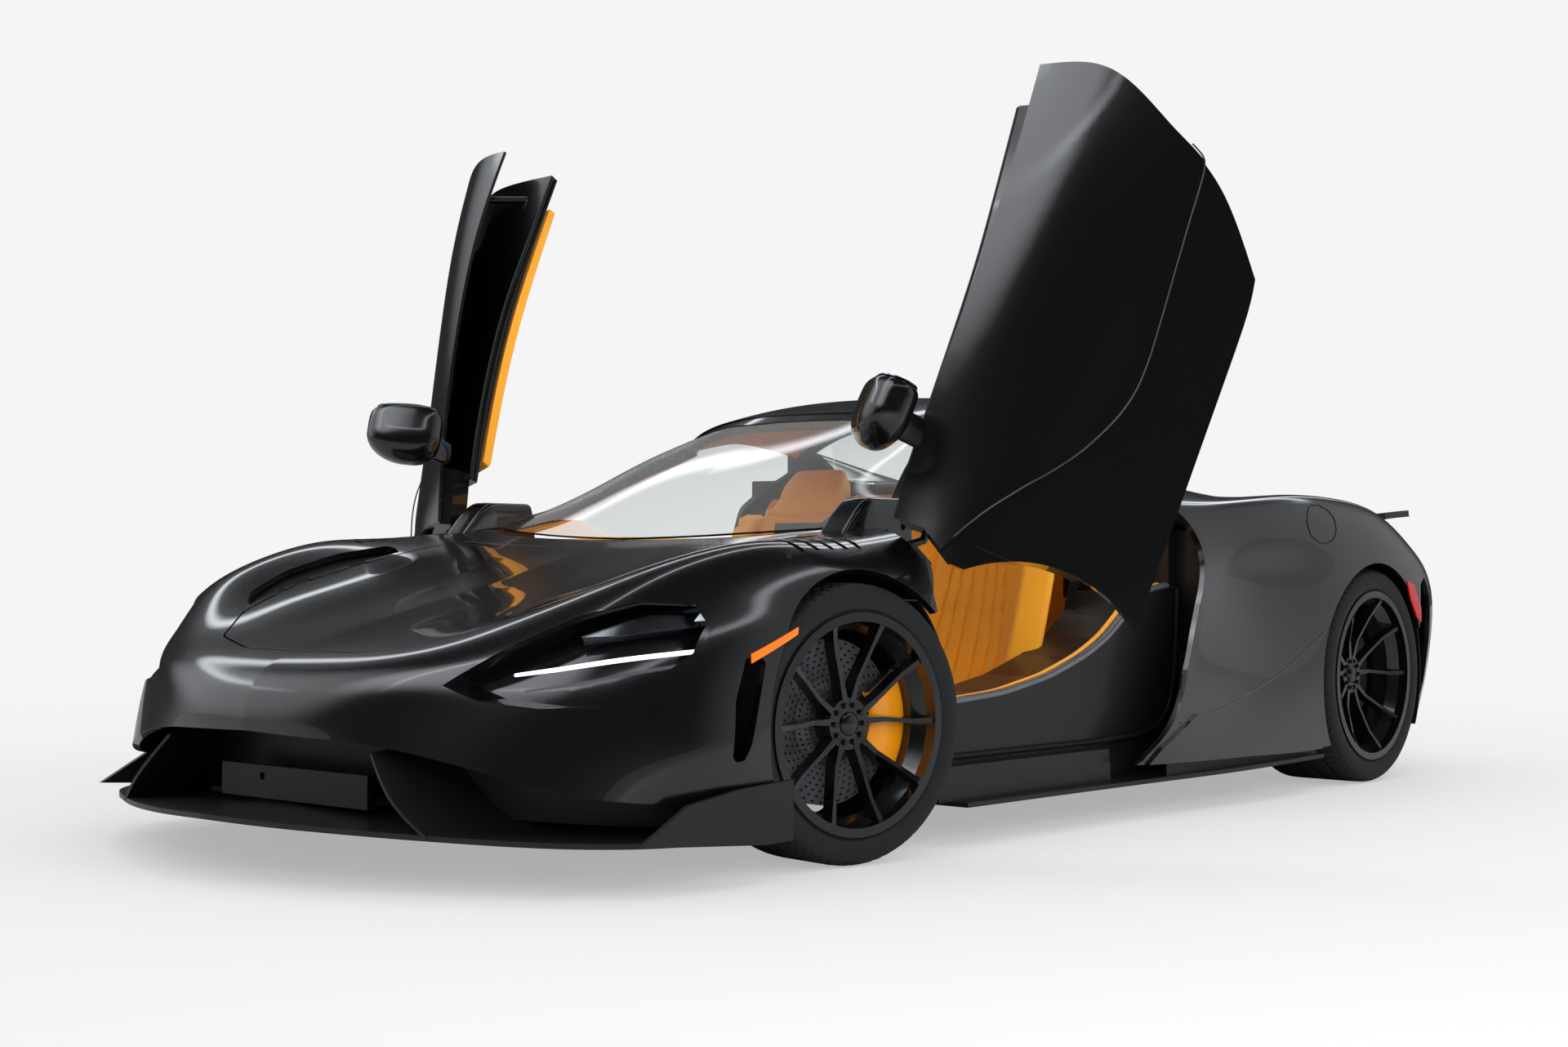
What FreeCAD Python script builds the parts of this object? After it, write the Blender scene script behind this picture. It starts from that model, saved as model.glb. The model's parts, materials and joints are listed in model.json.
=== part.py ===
import FreeCAD, Part
import math
import os

V = FreeCAD.Vector
os.makedirs("parts", exist_ok=True)

# A low two-seat supercar with its engine behind the seats.
# Frame: +X is the car's left, -Y its front, +Z up.
# The origin is on the ground, midway between the ends and the sides.

# Driving dimensions, in millimetres.
LENGTH = 4600.0
WIDTH = 1930.0
HEIGHT = 1193.0
WHEELBASE = 2670.0
REAR_OVERHANG = 771.0
FRONT_TRACK = 1656.0
REAR_TRACK = 1604.0
FRONT_TYRE_RADIUS = 327.0
REAR_TYRE_RADIUS = 345.5
FRONT_TYRE_WIDTH = 245.0
REAR_TYRE_WIDTH = 305.0
FRONT_RIM_RADIUS = 259.0
REAR_RIM_RADIUS = 271.5

# Body nets are drawn for these proportions and follow the three overall sizes.
WIDTH_SHARE = 1.93
LENGTH_SHARE = 4.6
HEIGHT_SHARE = 1.193
X_SIZE = WIDTH / WIDTH_SHARE
Y_SIZE = LENGTH / LENGTH_SHARE
Z_SIZE = HEIGHT / HEIGHT_SHARE

# Places that follow from the driving dimensions.
REAR_AXLE = LENGTH / 2 - REAR_OVERHANG
FRONT_AXLE = REAR_AXLE - WHEELBASE
FRONT_WHEEL_X = FRONT_TRACK / 2
REAR_WHEEL_X = REAR_TRACK / 2

# Shared thicknesses and clearances.
SKIN = 18.0
GLASS = 6.0
SEAT_GAP = 0.3
SHUT_GAP = 6.0
OVERRUN = 400.0
FRONT_ARCH_RADIUS = 359.0
REAR_ARCH_RADIUS = 363.0
LINER_RADIUS = 386.0
LINER_WALL = 4.0

# Steering: the wheels rest turned to the car's right.
KINGPIN_X = 775.0
REST_STEER_SHARE = -9.9

# Doors: each turns about one skew axis at the foot of the screen pillar.
HINGE_SHARES = (0.676, -0.811, 0.800)
HINGE_AXIS_SHARES = (0.822, -0.358, -0.443)
DOOR_OPEN_SHARE = 75.8
DOOR_SHELL = 36.0
DOOR_ARCH_RADIUS = 375.0

# Nets: rows of points that a smooth surface passes through.
NOSE_SHARES = (
    ((0, -2.185, .318), (.200, -2.172, .312), (.400, -2.130, .300), (.600, -2.060, .262),
     (.770, -1.950, .215), (.880, -1.800, .190), (.930, -1.640, .190), (.945, -1.490, .205)),
    ((0, -2.175, .395), (.200, -2.163, .392), (.400, -2.115, .388), (.620, -2.022, .378),
     (.790, -1.905, .360), (.895, -1.760, .330), (.942, -1.600, .310), (.950, -1.430, .290)),
    ((0, -2.120, .458), (.210, -2.110, .460), (.430, -2.070, .468), (.650, -1.960, .480),
     (.800, -1.840, .480), (.890, -1.700, .470), (.940, -1.540, .430), (.955, -1.350, .330)),
    ((0, -2.000, .505), (.220, -1.990, .510), (.440, -1.950, .530), (.680, -1.830, .588),
     (.800, -1.740, .590), (.885, -1.610, .560), (.945, -1.450, .490), (.960, -1.240, .340)),
    ((0, -1.780, .562), (.220, -1.780, .570), (.450, -1.760, .592), (.690, -1.660, .675),
     (.810, -1.600, .660), (.890, -1.480, .610), (.955, -1.300, .510), (.965, -1.120, .310)),
    ((0, -1.450, .640), (.220, -1.450, .648), (.460, -1.440, .660), (.705, -1.400, .735),
     (.830, -1.360, .725), (.915, -1.250, .650), (.962, -1.100, .500), (.965, -.985, .250)),
    ((0, -1.180, .710), (.220, -1.180, .715), (.470, -1.170, .722), (.720, -1.141, .757),
     (.850, -1.120, .735), (.930, -1.050, .650), (.965, -.900, .480), (.962, -.850, .200)),
    ((0, -1.005, .752), (.230, -.990, .757), (.480, -.945, .769), (.735, -.855, .786),
     (.860, -.815, .745), (.928, -.775, .640), (.952, -.722, .450), (.945, -.712, .160)))
QUARTER_SHARES = (
    ((.930, .08, .15), (.935, .45, .14), (.938, .75, .135), (.940, 1.05, .13),
     (.945, 1.30, .14), (.950, 1.60, .16), (.930, 1.86, .19), (.890, 2.00, .21)),
    ((.940, .252, .25), (.935, .52, .26), (.935, .80, .27), (.945, 1.08, .28),
     (.955, 1.32, .29), (.958, 1.62, .30), (.940, 1.89, .32), (.900, 2.04, .33)),
    ((.945, .325, .385), (.935, .57, .40), (.930, .83, .41), (.945, 1.10, .42),
     (.960, 1.34, .43), (.963, 1.64, .44), (.948, 1.91, .45), (.905, 2.07, .46)),
    ((.945, .357, .50), (.920, .60, .52), (.915, .85, .53), (.940, 1.11, .55),
     (.963, 1.35, .56), (.965, 1.65, .56), (.950, 1.92, .56), (.905, 2.08, .57)),
    ((.932, .442, .63), (.905, .65, .66), (.910, .87, .67), (.940, 1.12, .68),
     (.960, 1.36, .69), (.963, 1.65, .69), (.940, 1.92, .68), (.880, 2.09, .67)),
    ((.900, .480, .76), (.905, .67, .78), (.925, .88, .79), (.943, 1.12, .81),
     (.950, 1.36, .82), (.942, 1.64, .81), (.900, 1.90, .77), (.820, 2.08, .75)),
    ((.840, .445, .857), (.865, .66, .865), (.885, .87, .887), (.895, 1.10, .908),
     (.893, 1.35, .910), (.875, 1.62, .89), (.825, 1.87, .84), (.740, 2.07, .80)),
    ((.775, .41, .895), (.785, .64, .898), (.790, .86, .906), (.785, 1.10, .915),
     (.775, 1.34, .912), (.755, 1.60, .895), (.710, 1.87, .86), (.645, 2.07, .828)),
    ((.705, .39, .93), (.685, .62, .925), (.675, .86, .915), (.665, 1.10, .905),
     (.655, 1.34, .898), (.635, 1.60, .885), (.605, 1.87, .865), (.565, 2.08, .845)))
DOOR_SHARES = (
    ((.938, -.99, .118), (.934, -.62, .128), (.930, -.25, .140), (.930, .0, .150), (.931, .110, .166)),
    ((.955, -.99, .270), (.946, -.62, .280), (.940, -.25, .285), (.940, .07, .300), (.941, .262, .312)),
    ((.960, -.99, .420), (.952, -.62, .415), (.948, -.25, .405), (.948, .10, .410), (.946, .335, .430)),
    ((.952, -.99, .520), (.954, -.62, .510), (.956, -.25, .495), (.955, .12, .500), (.944, .370, .515)),
    ((.938, -.99, .610), (.940, -.62, .605), (.948, -.25, .600), (.948, .14, .615), (.928, .425, .625)),
    ((.895, -.98, .690), (.905, -.62, .700), (.920, -.25, .713), (.917, .16, .725), (.885, .455, .740)),
    ((.835, -.97, .745), (.862, -.62, .790), (.870, -.28, .810), (.852, .10, .832), (.795, .425, .858)))
DOOR_BODY_SHARES = (
    ((.935, -.66, .420), (.935, -.40, .400), (.930, -.13, .390), (.930, .12, .400), (.925, .31, .420)),
    ((.890, -.66, .560), (.880, -.40, .540), (.872, -.13, .530), (.872, .12, .560), (.875, .35, .600)),
    ((.845, -.66, .680), (.830, -.40, .670), (.818, -.13, .660), (.812, .12, .690), (.815, .37, .720)),
    ((.776, -.66, .770), (.770, -.40, .785), (.745, -.13, .800), (.700, .10, .820), (.640, .36, .845)))
SCREEN_SHARES = (
    ((0, -.985, .760), (.22, -.970, .766), (.44, -.925, .778), (.61, -.850, .790), (.69, -.785, .800)),
    ((0, -.72, .905), (.20, -.710, .908), (.38, -.690, .900), (.515, -.650, .880), (.585, -.600, .862)),
    ((0, -.48, 1.015), (.19, -.475, 1.015), (.34, -.465, 1.005), (.455, -.445, .985), (.505, -.42, .965)),
    ((0, -.24, 1.105), (.17, -.24, 1.103), (.30, -.24, 1.095), (.395, -.235, 1.075), (.435, -.225, 1.055)))
PILLAR_SHARES = (
    ((.693, -.782, .803), (.722, -.752, .806), (.742, -.730, .790)),
    ((.588, -.598, .865), (.618, -.580, .868), (.645, -.560, .850)),
    ((.508, -.418, .968), (.540, -.400, .970), (.568, -.380, .952)),
    ((.438, -.223, 1.058), (.478, -.205, 1.062), (.512, -.190, 1.045)))
ROOF_SHARES = (
    ((0, -.190, 1.138), (.16, -.190, 1.136), (.32, -.187, 1.121), (.44, -.178, 1.092), (.505, -.168, 1.058)),
    ((0, -.02, 1.172), (.17, -.02, 1.170), (.34, -.02, 1.155), (.47, -.015, 1.12), (.53, -.01, 1.082)),
    ((0, .14, 1.193), (.17, .14, 1.190), (.34, .14, 1.17), (.48, .14, 1.13), (.545, .14, 1.088)),
    ((0, .36, 1.18), (.17, .36, 1.175), (.34, .36, 1.15), (.465, .365, 1.10), (.525, .37, 1.058)))
HEADER_SHARES = (
    ((0, -.236, 1.108), (.17, -.236, 1.106), (.30, -.236, 1.098), (.392, -.231, 1.079), (.470, -.219, 1.056)),
    ((0, -.196, 1.130), (.16, -.196, 1.128), (.31, -.193, 1.114), (.43, -.184, 1.085), (.500, -.177, 1.052)))
DECK_SHARES = (
    ((0, .44, .93), (.2, .44, .93), (.36, .43, .96), (.47, .41, 1.055), (.56, .40, 1.01), (.698, .385, .935)),
    ((0, .66, .915), (.2, .66, .915), (.36, .65, .94), (.47, .64, 1.015), (.55, .63, .985), (.678, .625, .928)),
    ((0, .95, .885), (.2, .95, .885), (.36, .94, .905), (.46, .93, .955), (.54, .92, .948), (.667, .90, .917)),
    ((0, 1.30, .85), (.2, 1.30, .85), (.36, 1.30, .87), (.46, 1.30, .90), (.53, 1.30, .905), (.648, 1.34, .90)),
    ((0, 1.65, .83), (.2, 1.65, .832), (.35, 1.65, .845), (.45, 1.65, .865), (.52, 1.65, .878), (.626, 1.62, .888)),
    ((0, 1.95, .82), (.2, 1.95, .822), (.34, 1.95, .83), (.43, 1.95, .84), (.49, 1.95, .848), (.588, 1.94, .862)))
TAIL_SHARES = (
    ((0, 2.235, .33), (.30, 2.225, .33), (.56, 2.185, .33), (.74, 2.13, .335), (.888, 2.05, .34)),
    ((0, 2.245, .50), (.30, 2.235, .50), (.56, 2.195, .50), (.74, 2.145, .505), (.893, 2.085, .51)),
    ((0, 2.235, .66), (.30, 2.225, .66), (.55, 2.185, .66), (.72, 2.14, .665), (.875, 2.10, .66)),
    ((0, 2.20, .78), (.28, 2.19, .78), (.50, 2.16, .785), (.66, 2.12, .785), (.80, 2.09, .755)))
SPLITTER_SHARES = (
    ((0, -2.30, .143), (.20, -2.27, .138), (.42, -2.19, .130), (.60, -2.095, .122),
     (.76, -2.00, .117), (.87, -1.89, .114), (.935, -1.76, .113), (.958, -1.60, .112), (.958, -1.53, .112)),
    ((0, -1.62, .143), (.16, -1.61, .138), (.32, -1.60, .130), (.45, -1.58, .122),
     (.56, -1.57, .117), (.66, -1.55, .114), (.74, -1.54, .113), (.84, -1.53, .112), (.90, -1.525, .112)))
COWL_SHARES = (
    ((0, -.998, .750), (.23, -.983, .755), (.48, -.938, .767), (.66, -.870, .781)),
    ((0, -.880, .740), (.22, -.870, .742), (.45, -.835, .748), (.60, -.790, .755)))

# The hood's outline in plan, and the eye-shaped lamp socket's outline seen from the front.
HOOD_SHARES = ((0, -2.045), (.20, -2.040), (.36, -1.985), (.455, -1.86), (.515, -1.65), (.545, -1.40),
               (.560, -1.18), (.545, -1.055), (.40, -1.065), (.20, -1.085), (0, -1.09))
HOOD_TOP_SHARE = 1.0
HOOD_BOTTOM_SHARE = 0.35
EYE_SHARES = ((.500, .431), (.580, .400), (.700, .385), (.800, .388), (.862, .430), (.892, .505),
              (.882, .570), (.850, .612), (.780, .618), (.690, .585), (.600, .520), (.540, .465))
EYE_FRONT_SHARE = -2.25
EYE_BACK_SHARE = -1.50


def at(share):
    """A point from its shares of the three net sizes."""
    return V(share[0] * X_SIZE, share[1] * Y_SIZE, share[2] * Z_SIZE)


def natural_curve(values):
    """The smooth cubic through evenly spaced values, straight at both ends."""
    count = len(values)
    bend = [0.0] * count
    ratio = [0.0] * count
    load = [0.0] * count
    for i in range(1, count - 1):
        pivot = 4.0 - ratio[i - 1]
        ratio[i] = 1.0 / pivot
        second = values[i + 1] - 2 * values[i] + values[i - 1]
        load[i] = (6.0 * second - load[i - 1]) / pivot
    for i in range(count - 2, 0, -1):
        bend[i] = load[i] - ratio[i] * bend[i + 1]

    def curve(place):
        i = min(int(place), count - 2)
        right = place - i
        left = 1 - right
        line = left * values[i] + right * values[i + 1]
        return line + ((left ** 3 - left) * bend[i] + (right ** 3 - right) * bend[i + 1]) / 6

    return curve


def grid(net_shares, across, along):
    """Points of the smooth surface through a net, in rows."""
    rows = len(net_shares)
    columns = len(net_shares[0])
    down = []
    for c in range(columns):
        points = [at(net_shares[r][c]) for r in range(rows)]
        down.append([natural_curve([p[k] for p in points]) for k in range(3)])
    found = []
    for i in range(along):
        place = (rows - 1) * i / (along - 1)
        line = [[curve(place) for curve in column] for column in down]
        curves = [natural_curve([p[k] for p in line]) for k in range(3)]
        row = []
        for j in range(across):
            spot = (columns - 1) * j / (across - 1)
            row.append(V(curves[0](spot), curves[1](spot), curves[2](spot)))
        found.append(row)
    return found


def offset(points, depth, on_middle):
    """The same grid moved along its normals; on_middle keeps the first column at x = 0."""
    rows = len(points)
    columns = len(points[0])
    moved = []
    for i in range(rows):
        row = []
        for j in range(columns):
            across = points[i][min(j + 1, columns - 1)] - points[i][max(j - 1, 0)]
            along = points[min(i + 1, rows - 1)][j] - points[max(i - 1, 0)][j]
            normal = across.cross(along)
            if on_middle and j == 0:
                normal.x = 0
            normal.normalize()
            row.append(points[i][j] + normal * depth)
        moved.append(row)
    return moved


def spline_poles(values):
    """Control values of the smooth cubic through evenly spaced values."""
    count = len(values)
    poles = list(values)
    ratio = [0.0] * count
    load = [values[0]] + [0.0] * (count - 1)
    for i in range(1, count - 1):
        pivot = 4.0 - ratio[i - 1]
        ratio[i] = 1.0 / pivot
        load[i] = (6.0 * values[i] - load[i - 1]) / pivot
    for i in range(count - 2, 0, -1):
        poles[i] = load[i] - ratio[i] * poles[i + 1]
    return [2 * poles[0] - poles[1]] + poles + [2 * poles[-1] - poles[-2]]


def smooth_surface(points):
    """The surface through a grid of points, with even parameters both ways."""
    rows = len(points)
    columns = len(points[0])
    lines = []
    for row in points:
        lines.append(list(zip(*[spline_poles([p[k] for p in row]) for k in range(3)])))
    poles = []
    for j in range(columns + 2):
        column = [line[j] for line in lines]
        poles.append([V(*p) for p in zip(*[spline_poles([p[k] for p in column]) for k in range(3)])])
    surface = Part.BSplineSurface()
    across = list(range(-3, columns + 3))
    along = list(range(-3, rows + 3))
    surface.buildFromPolesMultsKnots(poles, [1] * len(across), [1] * len(along), across, along,
                                     False, False, 3, 3)
    surface.segment(0, columns - 1, 0, rows - 1)
    return surface


def skin(net_shares, outer, inner, across=25, along=21, on_middle=False):
    """A closed panel between two depths under the net's surface."""
    points = grid(net_shares, across, along)
    first = smooth_surface(offset(points, outer, on_middle))
    second = smooth_surface(offset(points, inner, on_middle))
    faces = [first.toShape(), second.toShape()]
    a0, a1, b0, b1 = first.bounds()
    c0, c1, d0, d1 = second.bounds()
    edges = ((first.uIso(a0), second.uIso(c0)), (first.uIso(a1), second.uIso(c1)),
             (first.vIso(b0), second.vIso(d0)), (first.vIso(b1), second.vIso(d1)))
    for one, two in edges:
        faces.append(Part.makeRuledSurface(one.toShape(), two.toShape()))
    shell = Part.makeCompound(faces)
    shell.sewShape()
    solid = Part.Solid(shell.Shells[0])
    if solid.Volume < 0:
        solid.reverse()
    return solid


def flipped(shape):
    """The shape mirrored to the car's other side."""
    return shape.mirror(V(0, 0, 0), V(1, 0, 0))


def joined(shapes):
    """One solid from pieces that share faces or overlap."""
    whole = shapes[0]
    if len(shapes) > 1:
        whole = whole.fuse(shapes[1:])
    try:
        return whole.removeSplitter()
    except Part.OCCError:
        return whole


def both_halves(half):
    """A panel across the car from its left half."""
    return joined([half, flipped(half)])


def pair(shape):
    """Left and right pieces kept as separate solids."""
    return Part.makeCompound([shape, flipped(shape)])


def block(low_shares, high_shares):
    """An upright box between two corners."""
    low = at(low_shares)
    high = at(high_shares)
    size = high - low
    return Part.makeBox(size.x, size.y, size.z, low)


def plan_prism(outline_shares, low_share, high_share):
    """A vertical prism on an outline of (x, y) shares."""
    points = [at((x, y, low_share)) for x, y in outline_shares]
    face = Part.Face(Part.makePolygon(points + [points[0]]))
    return face.extrude(V(0, 0, (high_share - low_share) * Z_SIZE))


def side_prism(outline_shares, inner_share, outer_share):
    """A prism along X on an outline of (y, z) shares."""
    points = [at((inner_share, y, z)) for y, z in outline_shares]
    face = Part.Face(Part.makePolygon(points + [points[0]]))
    return face.extrude(V((outer_share - inner_share) * X_SIZE, 0, 0))


def front_prism(outline_shares, front_share, back_share):
    """A prism along Y on an outline of (x, z) shares."""
    points = [at((x, front_share, z)) for x, z in outline_shares]
    face = Part.Face(Part.makePolygon(points + [points[0]]))
    return face.extrude(V(0, (back_share - front_share) * Y_SIZE, 0))


def rod(start, end, radius):
    """A round bar between two points."""
    way = end - start
    return Part.makeCylinder(radius, way.Length, start, way)


def arch(axle_y, axle_z, radius):
    """The round cut that opens a wheel arch on the left side."""
    return Part.makeCylinder(radius, 2 * OVERRUN, V(WIDTH / 4, axle_y, axle_z), V(1, 0, 0))


def save(name, shape):
    """Write one node."""
    solids = shape.Solids
    print(name, len(solids), round(shape.Volume / 1e6, 2), shape.isValid())
    if len(solids) == 1:
        shape = solids[0]
    shape.exportStep("parts/" + name + ".step")


# Body panels.

EYE_INSET_SHARE = 0.998
BOWL_WALL_SHARE = 0.955
BOWL_DEPTH = 92.0
BOWL_FLOOR = 74.0


def scaled_outline(outline_shares, share):
    """An outline drawn in about its middle."""
    count = len(outline_shares)
    middle_x = sum(p[0] for p in outline_shares) / count
    middle_z = sum(p[1] for p in outline_shares) / count
    return [(middle_x + (x - middle_x) * share, middle_z + (z - middle_z) * share)
            for x, z in outline_shares]


def hood_outline(share):
    """Both halves of the hood's outline in plan, drawn in or out about a middle point."""
    half = [(x * share, HOOD_MIDDLE_SHARE + (y - HOOD_MIDDLE_SHARE) * share) for x, y in HOOD_SHARES]
    other = [(-x, y) for x, y in reversed(half[1:-1])]
    return half + other


HOOD_MIDDLE_SHARE = -1.5
HOOD_CUT_SHARE = 1.006
HOOD_LID_SHARE = 0.994
GUTTER_OUTER_SHARE = 1.03
GUTTER_INNER_SHARE = 0.955
GUTTER_ROOM_SHARE = 1.034
GUTTER_LAP = 3.0
GUTTER_WALL = 5.0


def nose_skin(outer, inner):
    """The left half of the nose and front wing between two depths."""
    return skin(NOSE_SHARES, outer, inner, 29, 25, True)


def eye_prism(share):
    return front_prism(scaled_outline(EYE_SHARES, share), EYE_FRONT_SHARE, EYE_BACK_SHARE)


def hood_prism(share):
    return plan_prism(hood_outline(share), HOOD_BOTTOM_SHARE, HOOD_TOP_SHARE)


INTAKE_SHARES = ((-1.615, .275), (-1.585, .262), (-1.560, .300), (-1.530, .400), (-1.505, .480), (-1.520, .500),
                 (-1.560, .490), (-1.600, .400))
LOUVRES = 5
LOUVRE_FIRST_SHARES = (.660, -1.250, .60)
LOUVRE_LAST_SHARES = (.700, -1.050, .60)
LOUVRE_LENGTH = 150.0
LOUVRE_WIDTH = 16.0
LOUVRE_LEAN_SHARE = 12.0


def fender_louvres():
    """Slots over the front wheel that let the air out of the arch."""
    slots = []
    step = (at(LOUVRE_LAST_SHARES) - at(LOUVRE_FIRST_SHARES)) * (1.0 / (LOUVRES - 1))
    for k in range(LOUVRES):
        slot = Part.makeBox(LOUVRE_LENGTH, LOUVRE_WIDTH, OVERRUN)
        slot.rotate(V(0, 0, 0), V(0, 0, 1), LOUVRE_LEAN_SHARE)
        slot.translate(at(LOUVRE_FIRST_SHARES) + step * k)
        slots.append(slot)
    return slots


def front_clam():
    """The nose and wings in one piece, with the gutter that the luggage lid rests over."""
    half = nose_skin(0, -SKIN)
    half = half.cut(arch(FRONT_AXLE, FRONT_TYRE_RADIUS, FRONT_ARCH_RADIUS))
    half = half.cut(eye_prism(1)).cut(hood_prism(HOOD_CUT_SHARE))
    half = half.cut(door_room()).cut(pin_room())
    half = half.cut(side_prism(INTAKE_SHARES, DOOR_ROOM_INNER_SHARE, DOOR_ROOM_OUTER_SHARE))
    for louvre in fender_louvres():
        half = half.cut(louvre)
    half = sorted(half.Solids, key=lambda s: -s.Volume)[0]
    ring = hood_prism(GUTTER_OUTER_SHARE).cut(hood_prism(GUTTER_INNER_SHARE))
    gutter = nose_skin(GUTTER_LAP - SKIN, -SKIN - GUTTER_WALL).common(ring)
    gutter = gutter.cut(nose_skin(0, -SKIN - SEAT_GAP).common(hood_prism(HOOD_CUT_SHARE)))
    return both_halves(joined([half, gutter]))


def hood_lid():
    return both_halves(nose_skin(0, -SKIN).common(hood_prism(HOOD_LID_SHARE)))


def headlamp_bowls():
    """The dark socket behind each eye, open to the front."""
    cup = nose_skin(0, -BOWL_DEPTH).common(eye_prism(EYE_INSET_SHARE))
    hollow = nose_skin(SKIN, -BOWL_FLOOR).common(eye_prism(BOWL_WALL_SHARE))
    return pair(cup.cut(hollow))


LAMP_SHARES = ((.600, .492), (.700, .520), (.790, .560), (.850, .590), (.845, .558), (.780, .522), (.690, .488), (.610, .468))
BAR_SHARES = ((.560, .425), (.640, .412), (.730, .418), (.800, .446), (.838, .486), (.828, .500), (.790, .466),
              (.725, .438), (.640, .430), (.565, .443))
LAMP_TOP = 44.0
BAR_TOP = 30.0
MARKER_SHARES = ((-1.548, .480), (-1.400, .540), (-1.392, .556), (-1.545, .500))
MARKER_PROUD = 3.0


def headlamp_units():
    """The slim lamp and the light bar below it, on each bowl's floor."""
    lamp = nose_skin(-LAMP_TOP, SEAT_GAP - BOWL_FLOOR).common(front_prism(LAMP_SHARES, EYE_FRONT_SHARE, EYE_BACK_SHARE))
    bar = nose_skin(-BAR_TOP, SEAT_GAP - BOWL_FLOOR).common(front_prism(BAR_SHARES, EYE_FRONT_SHARE, EYE_BACK_SHARE))
    return Part.makeCompound([lamp, bar, flipped(lamp), flipped(bar)])


def side_markers():
    whole = nose_skin(MARKER_PROUD, SEAT_GAP)
    return pair(whole.common(side_prism(MARKER_SHARES, DOOR_ROOM_INNER_SHARE, DOOR_ROOM_OUTER_SHARE)))


SPLITTER_THICKNESS = 12.0
ENDPLATE_SHARES = ((-1.925, .116), (-1.777, .192), (-1.62, .212), (-1.436, .222), (-1.436, .088), (-1.53, .086))
ENDPLATE_INNER_SHARE = .9515
ENDPLATE_OUTER_SHARE = .9635
VANE_SHARES = (
    ((.540, -2.130, .116), (.560, -2.00, .114), (.590, -1.86, .112)),
    ((.450, -2.150, .190), (.470, -2.01, .190), (.500, -1.86, .190)),
    ((.360, -2.130, .282), (.385, -2.00, .300), (.415, -1.86, .315)))
VANE_THICKNESS = 8.0


def splitter():
    blade = skin(SPLITTER_SHARES, 0, -SPLITTER_THICKNESS, 33, 5, True)
    plate = side_prism(ENDPLATE_SHARES, ENDPLATE_INNER_SHARE, ENDPLATE_OUTER_SHARE)
    vane = skin(VANE_SHARES, 0, VANE_THICKNESS, 9, 9)
    return both_halves(joined([blade, plate, vane]))


GRILLE_SHARES = (
    ((0, -1.97, .150), (.30, -1.96, .148), (.55, -1.90, .140), (.76, -1.80, .135), (.88, -1.66, .130)),
    ((0, -1.98, .250), (.30, -1.97, .250), (.55, -1.91, .240), (.77, -1.81, .220), (.89, -1.67, .200)),
    ((0, -2.00, .370), (.30, -1.99, .370), (.55, -1.93, .350), (.77, -1.83, .320), (.89, -1.69, .290)))
GRILLE_THICKNESS = 10.0
PLINTH_LOW_SHARES = (-.262, -2.055, .150)
PLINTH_HIGH_SHARES = (.262, -2.037, .225)
PLINTH_STAY_LOW_SHARES = (-.20, -2.037, .165)
PLINTH_STAY_HIGH_SHARES = (.20, -1.945, .190)


def front_grille(under):
    """The intake's mesh board, cut clear of the skins round it."""
    board = skin(GRILLE_SHARES, 0, -GRILLE_THICKNESS, 17, 9, True)
    board = board.cut(nose_skin(0, -SKIN))
    board = board.cut(under)
    return both_halves(sorted(board.Solids, key=lambda s: -s.Volume)[0])


TOW_SHARES = (-.11, -2.055, .200)
TOW_RADIUS = 9.0
TOW_DEPTH = 45.0
TOW_BOSS_RADIUS = 17.0
TOW_BOSS_LENGTH = 58.0


def plate_plinth(grille):
    """The blank plate's plinth with the tow-eye socket."""
    plate = block(PLINTH_LOW_SHARES, PLINTH_HIGH_SHARES)
    stay = block(PLINTH_STAY_LOW_SHARES, PLINTH_STAY_HIGH_SHARES)
    boss = Part.makeCylinder(TOW_BOSS_RADIUS, TOW_BOSS_LENGTH, at(TOW_SHARES), V(0, 1, 0))
    socket = Part.makeCylinder(TOW_RADIUS, TOW_DEPTH, at(TOW_SHARES), V(0, 1, 0))
    whole = joined([plate, stay, boss]).cut(socket).cut(grille)
    return sorted(whole.Solids, key=lambda s: -s.Volume)[0]


# Cabin shell.

TUB_FLOOR_LOW_SHARES = (-.64, -.80, .112)
TUB_FLOOR_HIGH_SHARES = (.64, .46, .140)
FOOT_FLOOR_LOW_SHARES = (-.50, -1.25, .112)
FOOT_FLOOR_HIGH_SHARES = (.50, -.80, .140)
FOOT_WALL_LOW_SHARES = (.470, -1.25, .112)
FOOT_WALL_HIGH_SHARES = (.500, -.735, .655)
FRONT_WALL_LOW_SHARES = (-.50, -1.25, .112)
FRONT_WALL_HIGH_SHARES = (.50, -1.22, .600)
REAR_WALL_LOW_SHARES = (-.80, .47, .112)
REAR_WALL_HIGH_SHARES = (.80, .50, .97)
DASH_WALL_LOW_SHARES = (-.66, -.83, .560)
DASH_WALL_HIGH_SHARES = (.66, -.80, .700)
POST_LOW_SHARES = (.645, -.765, .112)
POST_HIGH_SHARES = (.725, -.705, .850)
POST_HEAD_LOW_SHARES = (.645, -.835, .700)
POST_HEAD_HIGH_SHARES = (.725, -.705, .850)
FOOT_JOIN_LOW_SHARES = (.47, -.765, .112)
FOOT_JOIN_HIGH_SHARES = (.725, -.735, .700)
SILL_SHARES = ((-.762, .108), (.30, .108), (.44, .108), (.50, .108), (.50, .64), (.30, .62), (.21, .555), (.12, .495),
               (0, .445), (-.18, .395), (-.40, .360), (-.66, .345), (-.762, .345))
SILL_INNER_SHARE = .60
SILL_OUTER_SHARE = .82
LEDGE_SHARES = ((-.762, .108), (.04, .108), (.03, .195), (-.762, .195))
LEDGE_OUTER_SHARE = .872
PAD_LOW_SHARES = (-.045, -.03, .090)
PAD_HIGH_SHARES = (.045, .03, .112)
PAD_PLACES_SHARES = ((.70, -.60), (.70, .35))
WING_STAY_LOW_SHARES = (.585, -.975, .62)
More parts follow.
